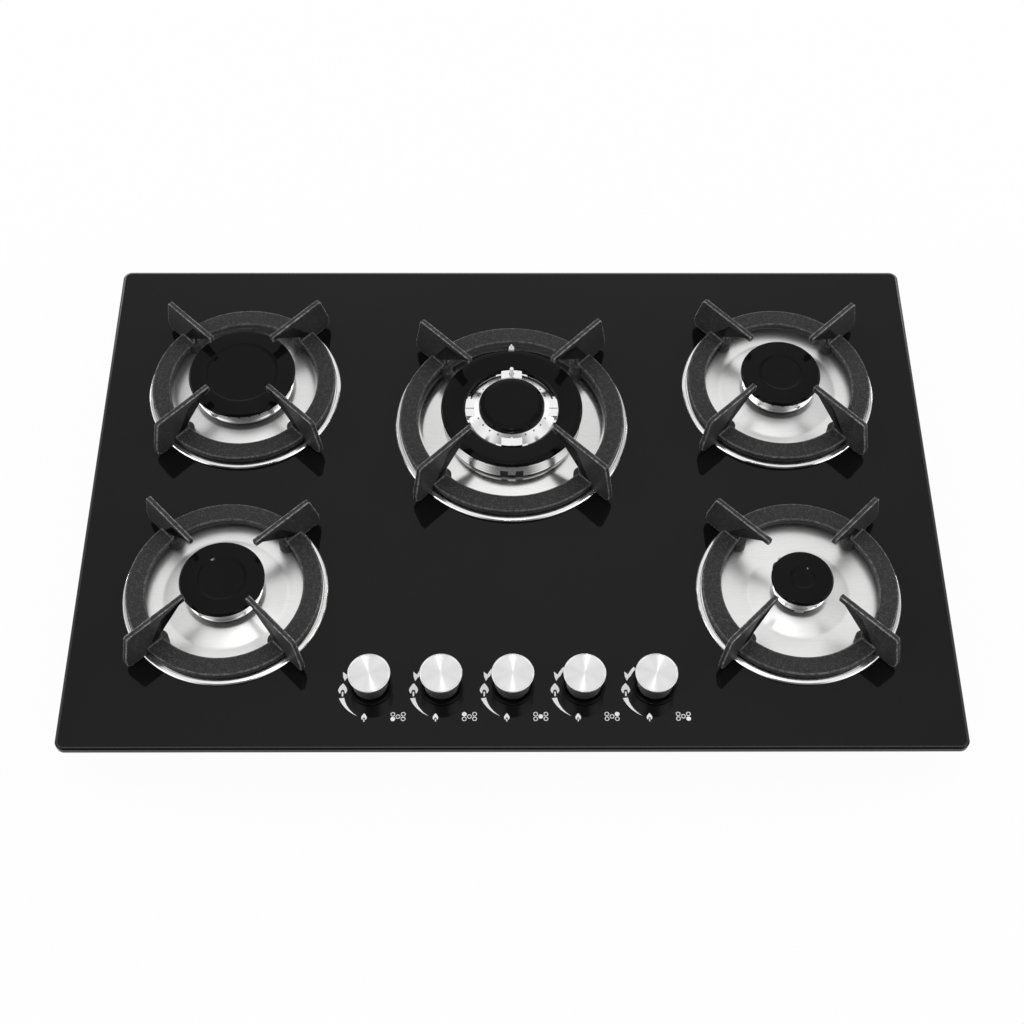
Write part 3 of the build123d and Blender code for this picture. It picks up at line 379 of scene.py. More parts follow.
def brushed_steel(name="brushed_steel", rough=0.27, wave=0.006):
    """Sheet brushed along X: short fine streaks in tone, gloss and, as waves in mm, in height."""
    f = Finish(name)
    place = f.place()
    fine = f.noise(f.stretch(place, (110.0, 1900.0, 110.0)), 1.0, 3.0, 0.65)
    broad = f.noise(f.stretch(place, (14.0, 420.0, 14.0)), 1.0, 2.0)
    cloud = f.noise(place, 22.0, 2.0)
    tone = (fine * 0.6 + broad * 0.2 + cloud * 0.2).clear(0.25, 0.75)
    return f.close(
        {
            "Base Color": f.shades(tone, colours().steel, 0.93, 1.07),
            "Metallic": 1.0,
            "Roughness": rough + fine * 0.08 + cloud * 0.05,
            "Normal": f.bump(fine, wave * MM),
        }
    )


def rim_steel():
    """The same sheet where the press has polished it."""
    return brushed_steel("rim_steel", 0.10, 0.002)


LATHE_STEP = 0.55 * MM


def cast_aluminium():
    """Bare machined casting: faint lathe rings and a soft mottled tone."""
    f = Finish("machined_casting")
    rings = (f.reach() * (TAU / LATHE_STEP)).sine()
    mottle = f.noise(f.place(), 90.0, 3.0)
    grain = f.noise(f.place(), 900.0, 2.0)
    return f.close(
        {
            "Base Color": f.shades(mottle, colours().aluminium, 0.92, 1.05),
            "Metallic": 1.0,
            "Roughness": 0.13 + mottle * 0.10,
            "Normal": f.bump(rings * 0.5 + grain, 0.004 * MM),
        }
    )


def spun_top():
    """Spun disc: fine rings about the axis, and gloss stretched outwards from it."""
    f = Finish("spun_top")
    along = f.node("ShaderNodeCombineXYZ", values={0: f.reach() * 5200.0})
    rings = f.noise(along, 1.0, 2.0, 0.6)
    return f.close(
        {
            "Base Color": f.shades(rings, colours().knob, 0.93, 1.08),
            "Metallic": 1.0,
            "Roughness": 0.30 + rings * 0.06,
            "Anisotropic": 0.95,
            "Anisotropic Rotation": 0.25,
        }
    )


def turned_side():
    """Turned metal wall: fine rings round it and gloss stretched up and down."""
    f = Finish("turned_side")
    height = f.part(f.place(), "Z")
    along = f.node("ShaderNodeCombineXYZ", values={2: height * 2600.0})
    rings = f.noise(along, 1.0, 2.0, 0.6)
    return f.close(
        {
            "Base Color": f.shades(rings, colours().knob, 0.84, 1.0),
            "Metallic": 1.0,
            "Roughness": 0.25 + rings * 0.05,
            "Anisotropic": 0.6,
            "Anisotropic Rotation": 0.25,
        }
    )


def glazed(name, colour, rough, metal, scale, depth):
    """Simple finish: two tones of one colour in a soft noise, with gloss and relief from it."""
    f = Finish(name)
    tone = f.noise(f.place(), scale, 3.0)
    return f.close(
        {
            "Base Color": f.shades(tone, colour, 0.88, 1.12),
            "Metallic": metal,
            "Roughness": rough + tone * (rough * 0.4),
            "Normal": f.bump(tone, depth * MM),
        }
    )


def zinc_sheet():
    """Zinc-coated sheet: large pale flakes with faint edges."""
    f = Finish("zinc_sheet")
    place = f.place()
    cells = {"Vector": place, "Scale": 95.0}
    tone = f.part(f.node("ShaderNodeTexVoronoi", {"feature": "F1"}, cells, out=1), "X")
    fine = f.noise(place, 700.0, 2.0)
    return f.close(
        {
            "Base Color": f.blend(tone, (0.46, 0.47, 0.48), (0.60, 0.61, 0.62)),
            "Metallic": 0.9,
            "Roughness": 0.34 + tone * 0.14,
            "Normal": f.bump(fine, 0.008 * MM),
        }
    )


def painted_edge_highlight():
    """Flat border over the glass's edge: a painted highlight of its bevel, paler towards the rear.
    """
    f = Finish("painted_edge_highlight")
    # Painted highlight: the border gets paler towards the rear
    rear_highlight = f.part(f.place(), "Y").clear(0.1, 0.25)
    grain = f.noise(f.place(), 500.0, 2.0)
    tone = rear_highlight * 0.85 + grain * 0.15
    return f.close(
        {
            "Base Color": f.blend(tone, (0.022, 0.022, 0.023), (0.17, 0.17, 0.175)),
            "Roughness": 0.25 + grain * 0.1,
            "Specular IOR Level": 0.2,
        }
    )


def white_print():
    """White ceramic ink with a slightly uneven tone."""
    f = Finish("white_print")
    tone = f.noise(f.place(), 900.0, 2.0)
    return f.close(
        {
            "Base Color": f.shades(tone, colours().ink, 0.92, 1.06),
            "Roughness": 0.4 + tone * 0.1,
        }
    )


# Colour, roughness, metallic, grains to the metre and relief in millimetres, for glazed
SIMPLE = {
    "seal_foam": ((0.028, 0.028, 0.028), 0.75, 0.0, 1400.0, 0.12),
    "moulded_black": ((0.022, 0.022, 0.023), 0.33, 0.0, 700.0, 0.02),
    # Near-black cups: painted shade under the crowns
    "cup_black_painted_shade": ((0.012, 0.012, 0.012), 0.45, 0.0, 600.0, 0.03),
    "brass": ((0.72, 0.52, 0.24), 0.26, 1.0, 160.0, 0.01),
    "bright_steel": ((0.55, 0.55, 0.56), 0.24, 1.0, 200.0, 0.008),
    "white_ceramic": ((0.82, 0.81, 0.78), 0.24, 0.0, 220.0, 0.01),
    "grey_sleeve": ((0.22, 0.22, 0.23), 0.5, 0.0, 600.0, 0.02),
}
MAKERS = {
    maker.__name__: maker
    for maker in (
        black_glass, cast_enamel, cap_enamel, brushed_steel, rim_steel, cast_aluminium,
        spun_top, turned_side, zinc_sheet, painted_edge_highlight, white_print,
    )
}
MADE = {}


def finish(name):
    """The finish of that name, made once and kept in MADE."""
    if name not in MADE:
        MADE[name] = glazed(name, *SIMPLE[name]) if name in SIMPLE else MAKERS[name]()
    return MADE[name]


# Surfaces


def rounded(corners, steps=6, closed=True):
    """Outline through corners (x, y, radius), with an arc tangent to both sides at each.

    The arc starts radius * tan(turn / 2) before the corner, where turn is the change of direction.
    """
    points = np.array([corner[:2] for corner in corners], float)
    radii = [corner[2] if len(corner) > 2 else 0.0 for corner in corners]
    found = []
    count = len(points)
    for i, (corner, radius) in enumerate(zip(points, radii)):
        before, after = points[i - 1], points[(i + 1) % count]
        if radius <= 0 or (not closed and i in (0, count - 1)):
            found.append(corner[None])
            continue
        u = (corner - before) / np.linalg.norm(corner - before)
        v = (after - corner) / np.linalg.norm(after - corner)
        cross = u[0] * v[1] - u[1] * v[0]
        turn = math.atan2(cross, u @ v)
        normal = np.array([-u[1], u[0]]) * math.copysign(1.0, cross)
        start = corner - u * radius * abs(math.tan(turn / 2))
        a = np.linspace(0, turn, steps + 1)[:, None]
        side = normal * np.cos(a) + np.array([-normal[1], normal[0]]) * np.sin(a)
        found.append(start + normal * radius - side * radius)
    return np.concatenate(found)


def grid_faces(rows, columns, wrap_rows=False):
    """Quads between rows of points, each row a closed ring, as lines of four indices."""
    i = np.arange(rows if wrap_rows else rows - 1)[:, None]
    j = np.arange(columns)[None, :]
    down, right = (i + 1) % rows, (j + 1) % columns
    corners = (i * columns + j, i * columns + right, down * columns + right, down * columns + j)
    return np.stack(corners, -1).reshape(-1, 4)


def turned(profile, closed=False, steps=None, wear_and_highlight=None):
    """Turned surface: each profile point (r, z) and angle a give (r cos a, r sin a, z).

    The last argument gives each profile point's mark of wear and painted highlight, as a fourth
    column.
    """
    steps = steps or sizes().segments
    a = np.arange(steps) * (TAU / steps)
    r, z = profile[:, 0][:, None], profile[:, 1][:, None]
    columns = [r * np.cos(a), r * np.sin(a), z + 0 * a]
    if wear_and_highlight is not None:
        columns.append(np.asarray(wear_and_highlight, float)[:, None] + 0 * a)
    points = np.stack(columns, -1)
    return points.reshape(-1, points.shape[-1]), grid_faces(len(profile), steps, closed)


# How far wear and painted highlight run onto a flat, and the least gap between profile points that
# is a flat
FADE = 0.4
LEAST_FLAT = 1.5


def wear_and_highlight_profile(profile):
    """Profile and its marks of wear and painted highlight: 1 on rounded corners, and 0 from FADE
    onto each flat.
    """
    ahead = np.roll(profile, -1, 0)
    gap = np.linalg.norm(ahead - profile, axis=1)[:, None]
    step = (ahead - profile) / gap * FADE
    flat = gap > LEAST_FLAT
    points = np.stack([profile, profile + step, ahead - step], 1)
    keep = np.hstack([np.ones_like(flat), flat, flat])
    return points[keep], np.array([1.0, 0.0, 0.0])[None].repeat(len(profile), 0)[keep]


def unit(vectors):
    """Each row at length 1."""
    return vectors / np.linalg.norm(vectors, axis=1)[:, None]


def plate(outline, thick, edge, steps=4):
    """Plate of an outline (x, z), its edges rounded and marked for wear and painted highlight.

    Row k lies edge * (1 - cos b) inside the outline and thick / 2 - edge + edge * sin b off the
    middle plane, for b from 0 to a quarter turn. A row FADE onto each flat ends the mark of wear
    and painted highlight, and the last row on each side closes as one face.
    """
    after, before = np.roll(outline, -1, 0), np.roll(outline, 1, 0)
    along = unit(unit(after - outline) + unit(outline - before))
    area = np.sum(outline[:, 0] * after[:, 1] - after[:, 0] * outline[:, 1])
    inward = np.stack([-along[:, 1], along[:, 0]], 1) * math.copysign(1.0, area)
    b = np.linspace(0, TAU / 4, steps + 1)
    half = thick / 2 - edge
    inset = np.concatenate([[0], edge * (1 - np.cos(b)), [edge + FADE]])
    off = np.concatenate([[half - FADE], half + edge * np.sin(b), [thick / 2]])
    mark = np.concatenate([[0], np.ones(steps + 1), [0]])
    inset, off, mark = (
        np.concatenate([sign * row[::-1], row])[:, None]
        for row, sign in ((inset, 1), (off, -1), (mark, 1))
    )
    x, z = (outline[:, i] + inward[:, i] * inset for i in (0, 1))
    points = np.stack([x, off + 0 * x, z, mark + 0 * x], -1).reshape(-1, 4)
    count = len(outline)
    faces = [*map(tuple, grid_faces(len(off), count))]
    faces.append(tuple(range(count)))
    faces.append(tuple(range((len(off) - 1) * count, len(off) * count))[::-1])
    return points, faces


def spin_points(points, degrees):
    """Points turned about Z."""
    a = math.radians(degrees)
    turn = np.eye(points.shape[1])
    turn[:2, :2] = [[math.cos(a), -math.sin(a)], [math.sin(a), math.cos(a)]]
    return points @ turn.T


def joined(shells):
    """One (points, faces) pair from several."""
    points, faces, start = [], [], 0
    for shell_points, shell_faces in shells:
        points.append(shell_points)
        faces += [tuple(int(i) + start for i in face) for face in shell_faces]
        start += len(shell_points)
    return np.concatenate(points), faces


def make_piece(name, shell, centre, materials, body, nodes=(), pick=None, sharp=35.0):
    """Puts a shell into a piece at a centre, on a body.

    pick takes the faces' middles, in the shell's own millimetres, to each one's material.
    """
    points, faces = shell
    place = np.array([centre[0], centre[1], GLASS_TOP])
    mesh = bpy.data.meshes.new(name)
    spots = points[:, :3] * MM + place
    mesh.from_pydata(spots.tolist(), [], [list(map(int, face)) for face in faces])
    # Fourth column: the mark of wear and painted edge highlight, kept on the points
    if points.shape[1] == 4:
        wear_and_highlight = mesh.attributes.new("wear_and_highlight", "FLOAT", "POINT")
        wear_and_highlight.data.foreach_set("value", points[:, 3].astype(np.float32))
    tidy_mesh(mesh)
    piece = show_mesh(name, mesh, centre, materials, sharp)
    if pick:
        pick_materials(mesh, place, pick)
    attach(piece, body)
    if nodes:
        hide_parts(*nodes)
    return piece


def pick_materials(mesh, place, pick):
    """Gives each face the material that pick chooses from its middle, taken from a place."""
    middles = np.zeros(len(mesh.polygons) * 3, np.float32)
    mesh.polygons.foreach_get("center", middles)
    chosen = pick((middles.reshape(-1, 3) - place) / MM)
    mesh.polygons.foreach_set("material_index", chosen.astype(np.int32))


MERGED = 0.001 * MM
COLLAPSED = 0.0005 * MM


def tidy_mesh(mesh):
    """Merges doubles, drops what collapsed and points the faces outwards."""
    work = bmesh.new()
    work.from_mesh(mesh)
    bmesh.ops.remove_doubles(work, verts=work.verts, dist=MERGED)
    bmesh.ops.dissolve_degenerate(work, edges=work.edges, dist=COLLAPSED)
    bmesh.ops.recalc_face_normals(work, faces=work.faces)
    work.to_mesh(mesh)
    work.free()


def show_mesh(name, mesh, centre, materials, sharp):
    """Object of a mesh, smooth but for its sharp edges, with its own map from the centre."""
    own = mesh.uv_layers.new(name="own")
    loops = np.zeros(len(mesh.loops), np.int32)
    mesh.loops.foreach_get("vertex_index", loops)
    places = np.zeros(len(mesh.vertices) * 3, np.float32)
    mesh.vertices.foreach_get("co", places)
    flat = places.reshape(-1, 3)[loops][:, :2] - np.array(centre, np.float32)
    own.data.foreach_set("uv", flat.astype(np.float32).ravel())
    mesh.polygons.foreach_set("use_smooth", np.ones(len(mesh.polygons), bool))
    mesh.set_sharp_from_angle(angle=math.radians(sharp))
    piece = bpy.data.objects.new(name, mesh)
    bpy.context.scene.collection.objects.link(piece)
    for material in materials:
        mesh.materials.append(finish(material))
    return piece


def dress_copy(node, name, centre, material, body, sharp=28.0):
    """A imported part's own form, merged and smoothed, with a finish that reads its own map."""
    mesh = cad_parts[node].data.copy()
    mesh.materials.clear()
    while mesh.uv_layers:
        mesh.uv_layers.remove(mesh.uv_layers[0])
    if mesh.has_custom_normals:
        mesh.attributes.remove(mesh.attributes["custom_normal"])
    tidy_mesh(mesh)
    piece = show_mesh(name, mesh, centre, [material], sharp)
    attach(piece, body)
    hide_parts(node)
    return piece


# Pieces: all sizes in millimetres, radii from each burner's or knob's axis, heights over the glass


def by_burner(*values):
    """One value for each burner, in the order of NAMES."""
    return dict(zip(NAMES, values, strict=True))


PAN_R = by_burner(89.3, 89.3, 107.4, 89.3, 89.3)
CROWN_R = by_burner(46.4, 34.0, 62.0, 34.0, 24.0)

# Where a pan's rise meets the burner, and how far it runs out from there
RISE_FOOT = {name: 64.5 if name == "wok" else CROWN_R[name] + 5.0 for name in NAMES}
RISE_RUN = by_burner(15.0, 15.0, 20.0, 15.0, 15.0)

# A pan's middle hole, the width of its polished rim, and how far the wok pan's rise is polished
PAN_HOLE = 14.6
RIM_WIDE = 10.0
WOK_RISE_R = 87.0

# The caps' undersides, just clear of the crowns so that no two faces coincide, their tops, and
# how far they stand out over the crowns
CAP_LOW = over_glass("crown_rear_left") + 0.03
CAP_HIGH = over_glass("cap_rear_left")
CAP_OVER = 3.2

# The shallow dish in each plain cap's top
DISH_R = {"rear_left": 31.8, "front_left": 20.0, "rear_right": 18.5, "front_right": 9.6}

# Degrees by which each support sits off square, as photographed
TURN = by_burner(0.8, -1.6, 0.4, -1.7, 0.6)
FINGER_TOP = {name: over_glass(f"pan_support_{name}") for name in NAMES}
TIP_R = by_burner(38.5, 38.5, 53.0, 38.5, 38.5)
FINGER_THICK = 4.6

# The cast ring's underside, its top, its width and how far it stands in from the pan's edge
RING_LOW, RING_HIGH, RING_WIDE, RING_INSET = 5.0, 11.0, 17.0, 4.0

# Share of the fingers' wear and painted highlight on the ring, of their painted highlight on the
# coves, and how deep a cove is sunk into both
RING_WEAR_AND_HIGHLIGHT, COVE_HIGHLIGHT = 0.45, 0.35
SUNK = 0.3

# The middle of a knob's spun face, its radius, and how far out its dimple lies
KNOB_FACE, KNOB_FACE_R = 24.55, 16.8
DIMPLE_OUT = 13.6


def pan_shell(name):
    """Pressed dish: beaded rim on a ledge, flat floor and a soft rise round the burner."""
    r, foot = PAN_R[name], RISE_FOOT[name]
    floor_r = foot + RISE_RUN[name]
    profile = rounded(
        [
            (PAN_HOLE, 3.0),
            (foot - 3.0, 3.0, 9.0),
            (floor_r, -1.0, 14.0),
            (r - 10.6, -1.0, 2.0),
            (r - 7.8, 1.7, 2.0),
            (r - 3.6, 0.7, 0.2),
            (r - 3.3, 1.7, 0.3),
            (r - 0.8, 1.12, 0.5),
            (r, 0.1),
            (r - 0.8, 0.1),
            (r - 1.2, 0.6, 0.4),
            (r - 2.5, 0.5, 0.3),
            (r - 3.3, -0.2, 0.2),
            (r - 7.2, 0.1, 0.6),
            (r - 10.2, -1.8, 1.6),
            (floor_r, -1.8, 14.0),
            (foot - 3.0, 2.2, 9.0),
            (PAN_HOLE, 2.2),
        ],
        steps=8,
    )
    return turned(profile, closed=True, steps=sizes().segments + 32)


def polished_faces(middles, rim, rise):
    """Which faces lie outside the rim's inner radius or inside the rise's outer one."""
    reach = np.hypot(middles[:, 0], middles[:, 1])
    return (reach > rim) | (reach < rise)


def knob_face(middles):
    """Which faces lie on the knob's spun face."""
    reach = np.hypot(middles[:, 0], middles[:, 1])
    return (middles[:, 2] > KNOB_FACE - 0.15) & (reach < KNOB_FACE_R + 0.15)


def cap_profile(name):
    """Cap: flat under with a collar, rounded nose, gently domed top with a shallow dish."""
    r, dish, collar = CROWN_R[name] + CAP_OVER, DISH_R[name], CROWN_R[name] - 3.8
    low, high = CAP_LOW, CAP_HIGH
    return rounded(
        [
            (0, low + 1.0),
            (collar - 2.6, low + 1.0, 0.3),
            (collar - 2.6, low - 1.8, 0.3),
            (collar, low - 1.8, 0.3),
            (collar, low, 0.3),
            (r - 1.8, low, 0.8),
            (r, low + 2.2, 1.3),
            (r - 1.6, high - 0.5, 1.6),
            (dish + 1.7, high, 3.0),
            (dish - 0.4, high - 0.75, 2.2),
            (0, high - 0.95),
        ],
        closed=False,
    )


def wok_ring_profile():
    """Ring cap: rounded nose outside, a top that falls gently to a rounded inner lip."""
    r, low, high = CROWN_R["wok"] + CAP_OVER, CAP_LOW, CAP_HIGH
    return rounded(
        [
            (42.8, low, 0.4),
            (54.8, low, 0.3),
            (54.8, 20.2, 0.3),
            (57.4, 20.2, 0.3),
            (57.4, low, 0.3),
            (r - 1.8, low, 0.8),
            (r, 24.2, 1.3),
            (r - 1.6, high - 0.5, 1.6),
            (r - 5.4, high, 2.0),
            (44.2, 25.0, 1.4),
            (42.8, 23.8, 0.8),
        ]
    )


def wok_dome_profile():
    """Middle cap: a spigot below, a rounded nose and a dome with a soft shoulder."""
    return rounded(
        [
            (0, 25.2),
            (28.0, 25.2, 0.3),
            (28.0, 27.0, 0.3),
            (29.0, 27.0, 0.4),
            (30.2, 29.0, 1.1),
            (28.9, 30.9, 2.2),
            (24.6, 32.15, 5.0),
            (0, 32.6),
        ],
        closed=False,
    )


def finger_outline(name):
    """Outline (r, z) of one cast finger, from its tip over the burner to its foot by the pan."""
    pan_r, top = PAN_R[name], FINGER_TOP[name]
    inner = pan_r - RING_INSET - RING_WIDE
    return rounded(
        [
            (TIP_R[name], top, 0.9),
            (TIP_R[name], top - 6.6, 1.3),
            (inner - 3.5, top - 7.8, 4.0),
            (inner, RING_HIGH),
            (inner, RING_LOW),
            (pan_r - 5.0, RING_LOW),
            (pan_r - 5.0, 2.4, 0.8),
            (pan_r + 13.0, 2.4, 1.5),
            (pan_r + 17.0, 6.4, 1.8),
            (pan_r + 17.0, 14.4, 4.0),
            (pan_r + 9.8, top, 3.5),
        ],
        steps=7,
    )


def fillet_strip(inner, outer, half, radius, steps=6):
    """Cove along a finger's foot on its ring, and its mirror image on the other side.

    Point a of the cove lies radius * (1 + cos a) off the finger's side and radius * (1 + sin a)
    over the ring, for a from a half turn to three quarters. It runs straight from the inner to the
    outer radius, and its two hidden sides are sunk into the finger and the ring.
    """
    a = np.linspace(TAU / 2, TAU * 0.75, steps + 1)
    y = half + np.concatenate([radius * (1 + np.cos(a)), [-SUNK, -SUNK]])
    z = RING_HIGH + np.concatenate([radius * (1 + np.sin(a)), [-SUNK, radius]])
    count = len(y)
    # Painted highlight along each cove, less at its ends
    ends = np.minimum(np.arange(count), count - 1 - np.arange(count)).clip(0, 2) / 2
    shells = []
    for side in (1, -1):
        rows = [np.stack([0 * y + x, side * y, z, COVE_HIGHLIGHT * ends], -1) for x in (inner, outer)]
        faces = [*map(tuple, grid_faces(2, count))]
        faces += [tuple(range(count)), tuple(range(2 * count - 1, count - 1, -1))]
        shells.append((np.concatenate(rows), faces))
    return joined(shells)


def support_shell(name):
    """Cast ring, four fingers with coves along their feet, and four round locating feet."""
    outer = PAN_R[name] - RING_INSET
    inner = outer - RING_WIDE
    body = rounded(
        [
            (inner, RING_LOW, 0.8),
            (outer, RING_LOW, 0.8),
            (outer, RING_HIGH, 1.2),
            (inner, RING_HIGH, 1.2),
        ],
        steps=5,
    )
    foot = rounded(
        [(0, -1.0), (7.0, -1.0, 0.8), (7.0, 10.2, 1.0), (0, 10.2)], steps=4, closed=False
    )
    foot_points, foot_faces = turned(foot, steps=48, wear_and_highlight=np.zeros(len(foot)))
    finger = plate(finger_outline(name), FINGER_THICK, sizes().finger_round / MM)
    cove = fillet_strip(inner + 0.6, outer - 0.8, FINGER_THICK / 2, sizes().fillet / MM)
    body, marks = wear_and_highlight_profile(body)
    # Ring edges carry part of the fingers' wear and painted highlight
    shells = [turned(body, closed=True, wear_and_highlight=RING_WEAR_AND_HIGHLIGHT * marks)]
    for square in (45, 135, 225, 315):
        angle = square + TURN[name]
        for points, faces in (finger, cove, (foot_points + [inner + 1.5, 0, 0, 0], foot_faces)):
            shells.append((spin_points(points, angle), faces))
    return joined(shells)


def knob_profile():
    """Tapered knob: hollow below, polished side, a bright rounded edge and a dished top."""
    return rounded(
        [
            (0, 21.9),
            (15.2, 21.9, 1.0),
            (12.9, 4.4, 0.2),
            (14.6, 4.4, 0.4),
            (15.7, 14.0, 30.0),
            (17.98, 24.2, 0.3),
            (17.7, 25.0, 0.45),
            (17.0, 24.9, 0.3),
            (KNOB_FACE_R, 24.6, 0.2),
            (0, KNOB_FACE),
        ],
        closed=False,
    )


def bezel_profile():
    """Thin dark cup round a knob's foot."""
    return rounded(
        [
            (4.6, -6.0),
            (8.7, -6.0),
            (8.7, 0.0),
            (18.4, 0.0, 0.1),
            (18.4, 1.6, 0.6),
            (16.2, 1.6, 0.5),
            (15.9, 0.8, 0.3),
            (4.6, 0.8),
        ]
    )


class CooktopSupports(bpy.types.Operator):
    """Cast pan supports: ring, fingers, coves and feet."""

    bl_idname = "cooktop.supports"
    bl_label = "Pan supports"

    def execute(self, context):
        for name in NAMES:
            make_piece(
                f"support_{name}", support_shell(name), CENTRES[name], ["cast_enamel"],
                f"support_{name}", [f"pan_support_{name}"], sharp=40.0,
            )
        return {"FINISHED"}


class CooktopPans(bpy.types.Operator):
    """Brushed drip pans under the burners."""

    bl_idname = "cooktop.pans"
    bl_label = "Drip pans"

    def execute(self, context):
        for name in NAMES:
            rim, rise = PAN_R[name] - RIM_WIDE, WOK_RISE_R if name == "wok" else 0.0
            make_piece(
                f"pan_{name}", pan_shell(name), CENTRES[name], ["brushed_steel", "rim_steel"],
                "base", [f"drip_pan_{name}"],
                pick=partial(polished_faces, rim=rim, rise=rise), sharp=50.0,
            )
        return {"FINISHED"}


class CooktopCaps(bpy.types.Operator):
    """Black enamelled burner caps."""

    bl_idname = "cooktop.caps"
    bl_label = "Burner caps"

    def execute(self, context):
        caps = {f"cap_{name}": (cap_profile(name), False, name) for name in PLAIN}
        caps["cap_wok_outer"] = (wok_ring_profile(), True, "wok")
        caps["cap_wok_inner"] = (wok_dome_profile(), False, "wok")
        for node, (profile, closed, name) in caps.items():
            make_piece(
                f"{node}_enamelled", turned(profile, closed), CENTRES[name], ["cap_enamel"],
                node, [node], sharp=50.0,
            )
        return {"FINISHED"}


class CooktopBurners(bpy.types.Operator):
    """Cast crowns and cups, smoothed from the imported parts."""

    bl_idname = "cooktop.burners"
    bl_label = "Burner crowns and cups"

    def execute(self, context):
        for name in NAMES:
            dress_copy(
                f"crown_{name}", f"flame_ring_{name}", CENTRES[name], "cast_aluminium",
                f"crown_{name}",
            )
            # The black cups paint the shade under the crowns
            dress_copy(
                f"burner_cup_{name}", f"cup_{name}", CENTRES[name], "cup_black_painted_shade",
                "base",
            )
        return {"FINISHED"}


class CooktopKnobs(bpy.types.Operator):
    """Knobs with spun tops, and the dark rings round their feet."""

    bl_idname = "cooktop.knobs"
    bl_label = "Knobs and bezels"

    def execute(self, context):
        dimple = turned(np.array([[0, 24.75], [0.8, 24.72], [1.15, 24.5], [0, 24.4]]), steps=32)
        for name in NAMES:
            shell = joined([turned(knob_profile()), (dimple[0] + [0, DIMPLE_OUT, 0], dimple[1])])
            make_piece(
                f"knob_{name}_turned", shell, TAPS[name], ["turned_side", "spun_top"],
                f"knob_{name}", [f"knob_{name}"], pick=knob_face, sharp=25.0,
            )
        points, faces = turned(bezel_profile(), closed=True)
        bezels = [(points + [(TAPS[name][0] - TAPS["wok"][0]) / MM, 0, 0], faces) for name in NAMES]
        make_piece(
            "bezel_rings", joined(bezels), TAPS["wok"], ["cap_enamel"],
            "base", ["knob_bezels"],
        )
        return {"FINISHED"}


# Printed marks: outlines in millimetres from each knob's axis


def flame(size, x, y):
    """Flame mark of a height, its foot at (x, y): a leaf with an arch cut from it, and a bar.

    At t from 0 at the tip to 1, each side of the leaf is 0.305 * sin(t^0.85 quarter turns)^1.15
    off the middle and 1 - 0.56 t high, as shares of the height.
    """
    t = np.linspace(0, 1, 15)
    side_x = 0.305 * np.sin(TAU / 4 * t**0.85) ** 1.15
    side_y = 1.0 - 0.56 * t
    low = np.array([[0.285, 0.36], [0.235, 0.27], [0.175, 0.20]])
    arch_a = np.linspace(0, TAU / 2, 13)
    arch = np.stack([0.135 * np.cos(arch_a), 0.34 + 0.16 * np.sin(arch_a)], 1)
    right = np.concatenate([np.stack([side_x, side_y], 1), low])
    left = right[1:][::-1] * [-1, 1]
    leaf = np.concatenate([right, [[0.15, 0.25]], arch, [[-0.15, 0.25]], left])
    bar = np.array([[-0.055, 0.0], [0.055, 0.0], [0.055, 0.34], [-0.055, 0.34]])
    return [outline * size + [x, y] for outline in (leaf, bar)]


def arc(radius, start, end, count=24):
    """Points on a circle about the knob's axis, between two angles in degrees."""
    a = np.radians(np.linspace(start, end, count))
    return np.stack([radius * np.cos(a), radius * np.sin(a)], 1)


WEDGE_R = 30.4


def wedge():
    """Arc band that thins from the large flame to the small one.

    At t from 0 by the small flame to 1 by the large one it is 4.3 * (1 - (1 - t)^0.85) wide.
    """
    wide = 4.3 * (1 - np.linspace(1, 0, 24) ** 0.85)
    inner = arc(1.0, 246.8, 204.8) * (WEDGE_R - wide)[:, None]
    return np.concatenate([arc(WEDGE_R, 202.4, 247.3), inner])


def arrow():
    """Curved arrow from off towards the large flame."""
    outer = arc(25.2, 135.0, 155.0, 8)
    inner = arc(22.6, 156.0, 135.0, 8)
    return np.concatenate([outer, [[-26.0, 13.4], [-25.6, 8.6], [-24.1, 4.6], [-22.6, 7.2]], inner])


def disc(x, y, radius, hole=0.0, count=28):
    """Disc, or a ring given as one outline with a slit."""
    a = np.linspace(0, TAU, count)
    rim = np.stack([np.cos(a), np.sin(a)], 1)
    if not hole:
        return rim[:-1] * radius + [x, y]
    return np.concatenate([rim * radius, rim[::-1] * hole]) + [x, y]


# The marks sit this far to the right of their knobs, less this share of the knob's own place
PRINT_SHIFT = 1.4
PRINT_CLOSER = 0.005
LARGE_FLAME = (12.2, -25.4, -9.6)
SMALL_FLAME = (7.7, -6.4, -33.0)
MAP_X, MAP_Y = 22.0, -28.4
MAP_SPOTS = ((-4.3, -2.15), (-4.3, 2.15), (0.0, 0.0), (4.3, 2.15), (4.3, -2.15))
MAP_ORDER = ("front_left", "rear_left", "wok", "rear_right", "front_right")
FILLED_R, OPEN_R, OPEN_HOLE = 2.0, 1.95, 1.3


class CooktopPrint(bpy.types.Operator):
    """White marks on the glass: arrows, flames, wedges and burner maps."""

    bl_idname = "cooktop.marks"
    bl_label = "Printed marks"

    def execute(self, context):
        lift = sizes().print_lift / MM
        for name in NAMES:
            outlines = [wedge(), arrow(), *flame(*LARGE_FLAME), *flame(*SMALL_FLAME)]
            for (x, y), burner in zip(MAP_SPOTS, MAP_ORDER):
                form = (FILLED_R, 0.0) if burner == name else (OPEN_R, OPEN_HOLE)
                outlines.append(disc(MAP_X + x, MAP_Y + y, *form))
            shift = [PRINT_SHIFT - PRINT_CLOSER * TAPS[name][0] / MM, 0]
            points = [np.column_stack([o + shift, np.full(len(o), lift)]) for o in outlines]
            shell = joined([(p, [tuple(range(len(p)))]) for p in points])
            make_piece(
                f"marks_{name}", shell, TAPS[name], ["white_print"], "base",
            )
        return {"FINISHED"}


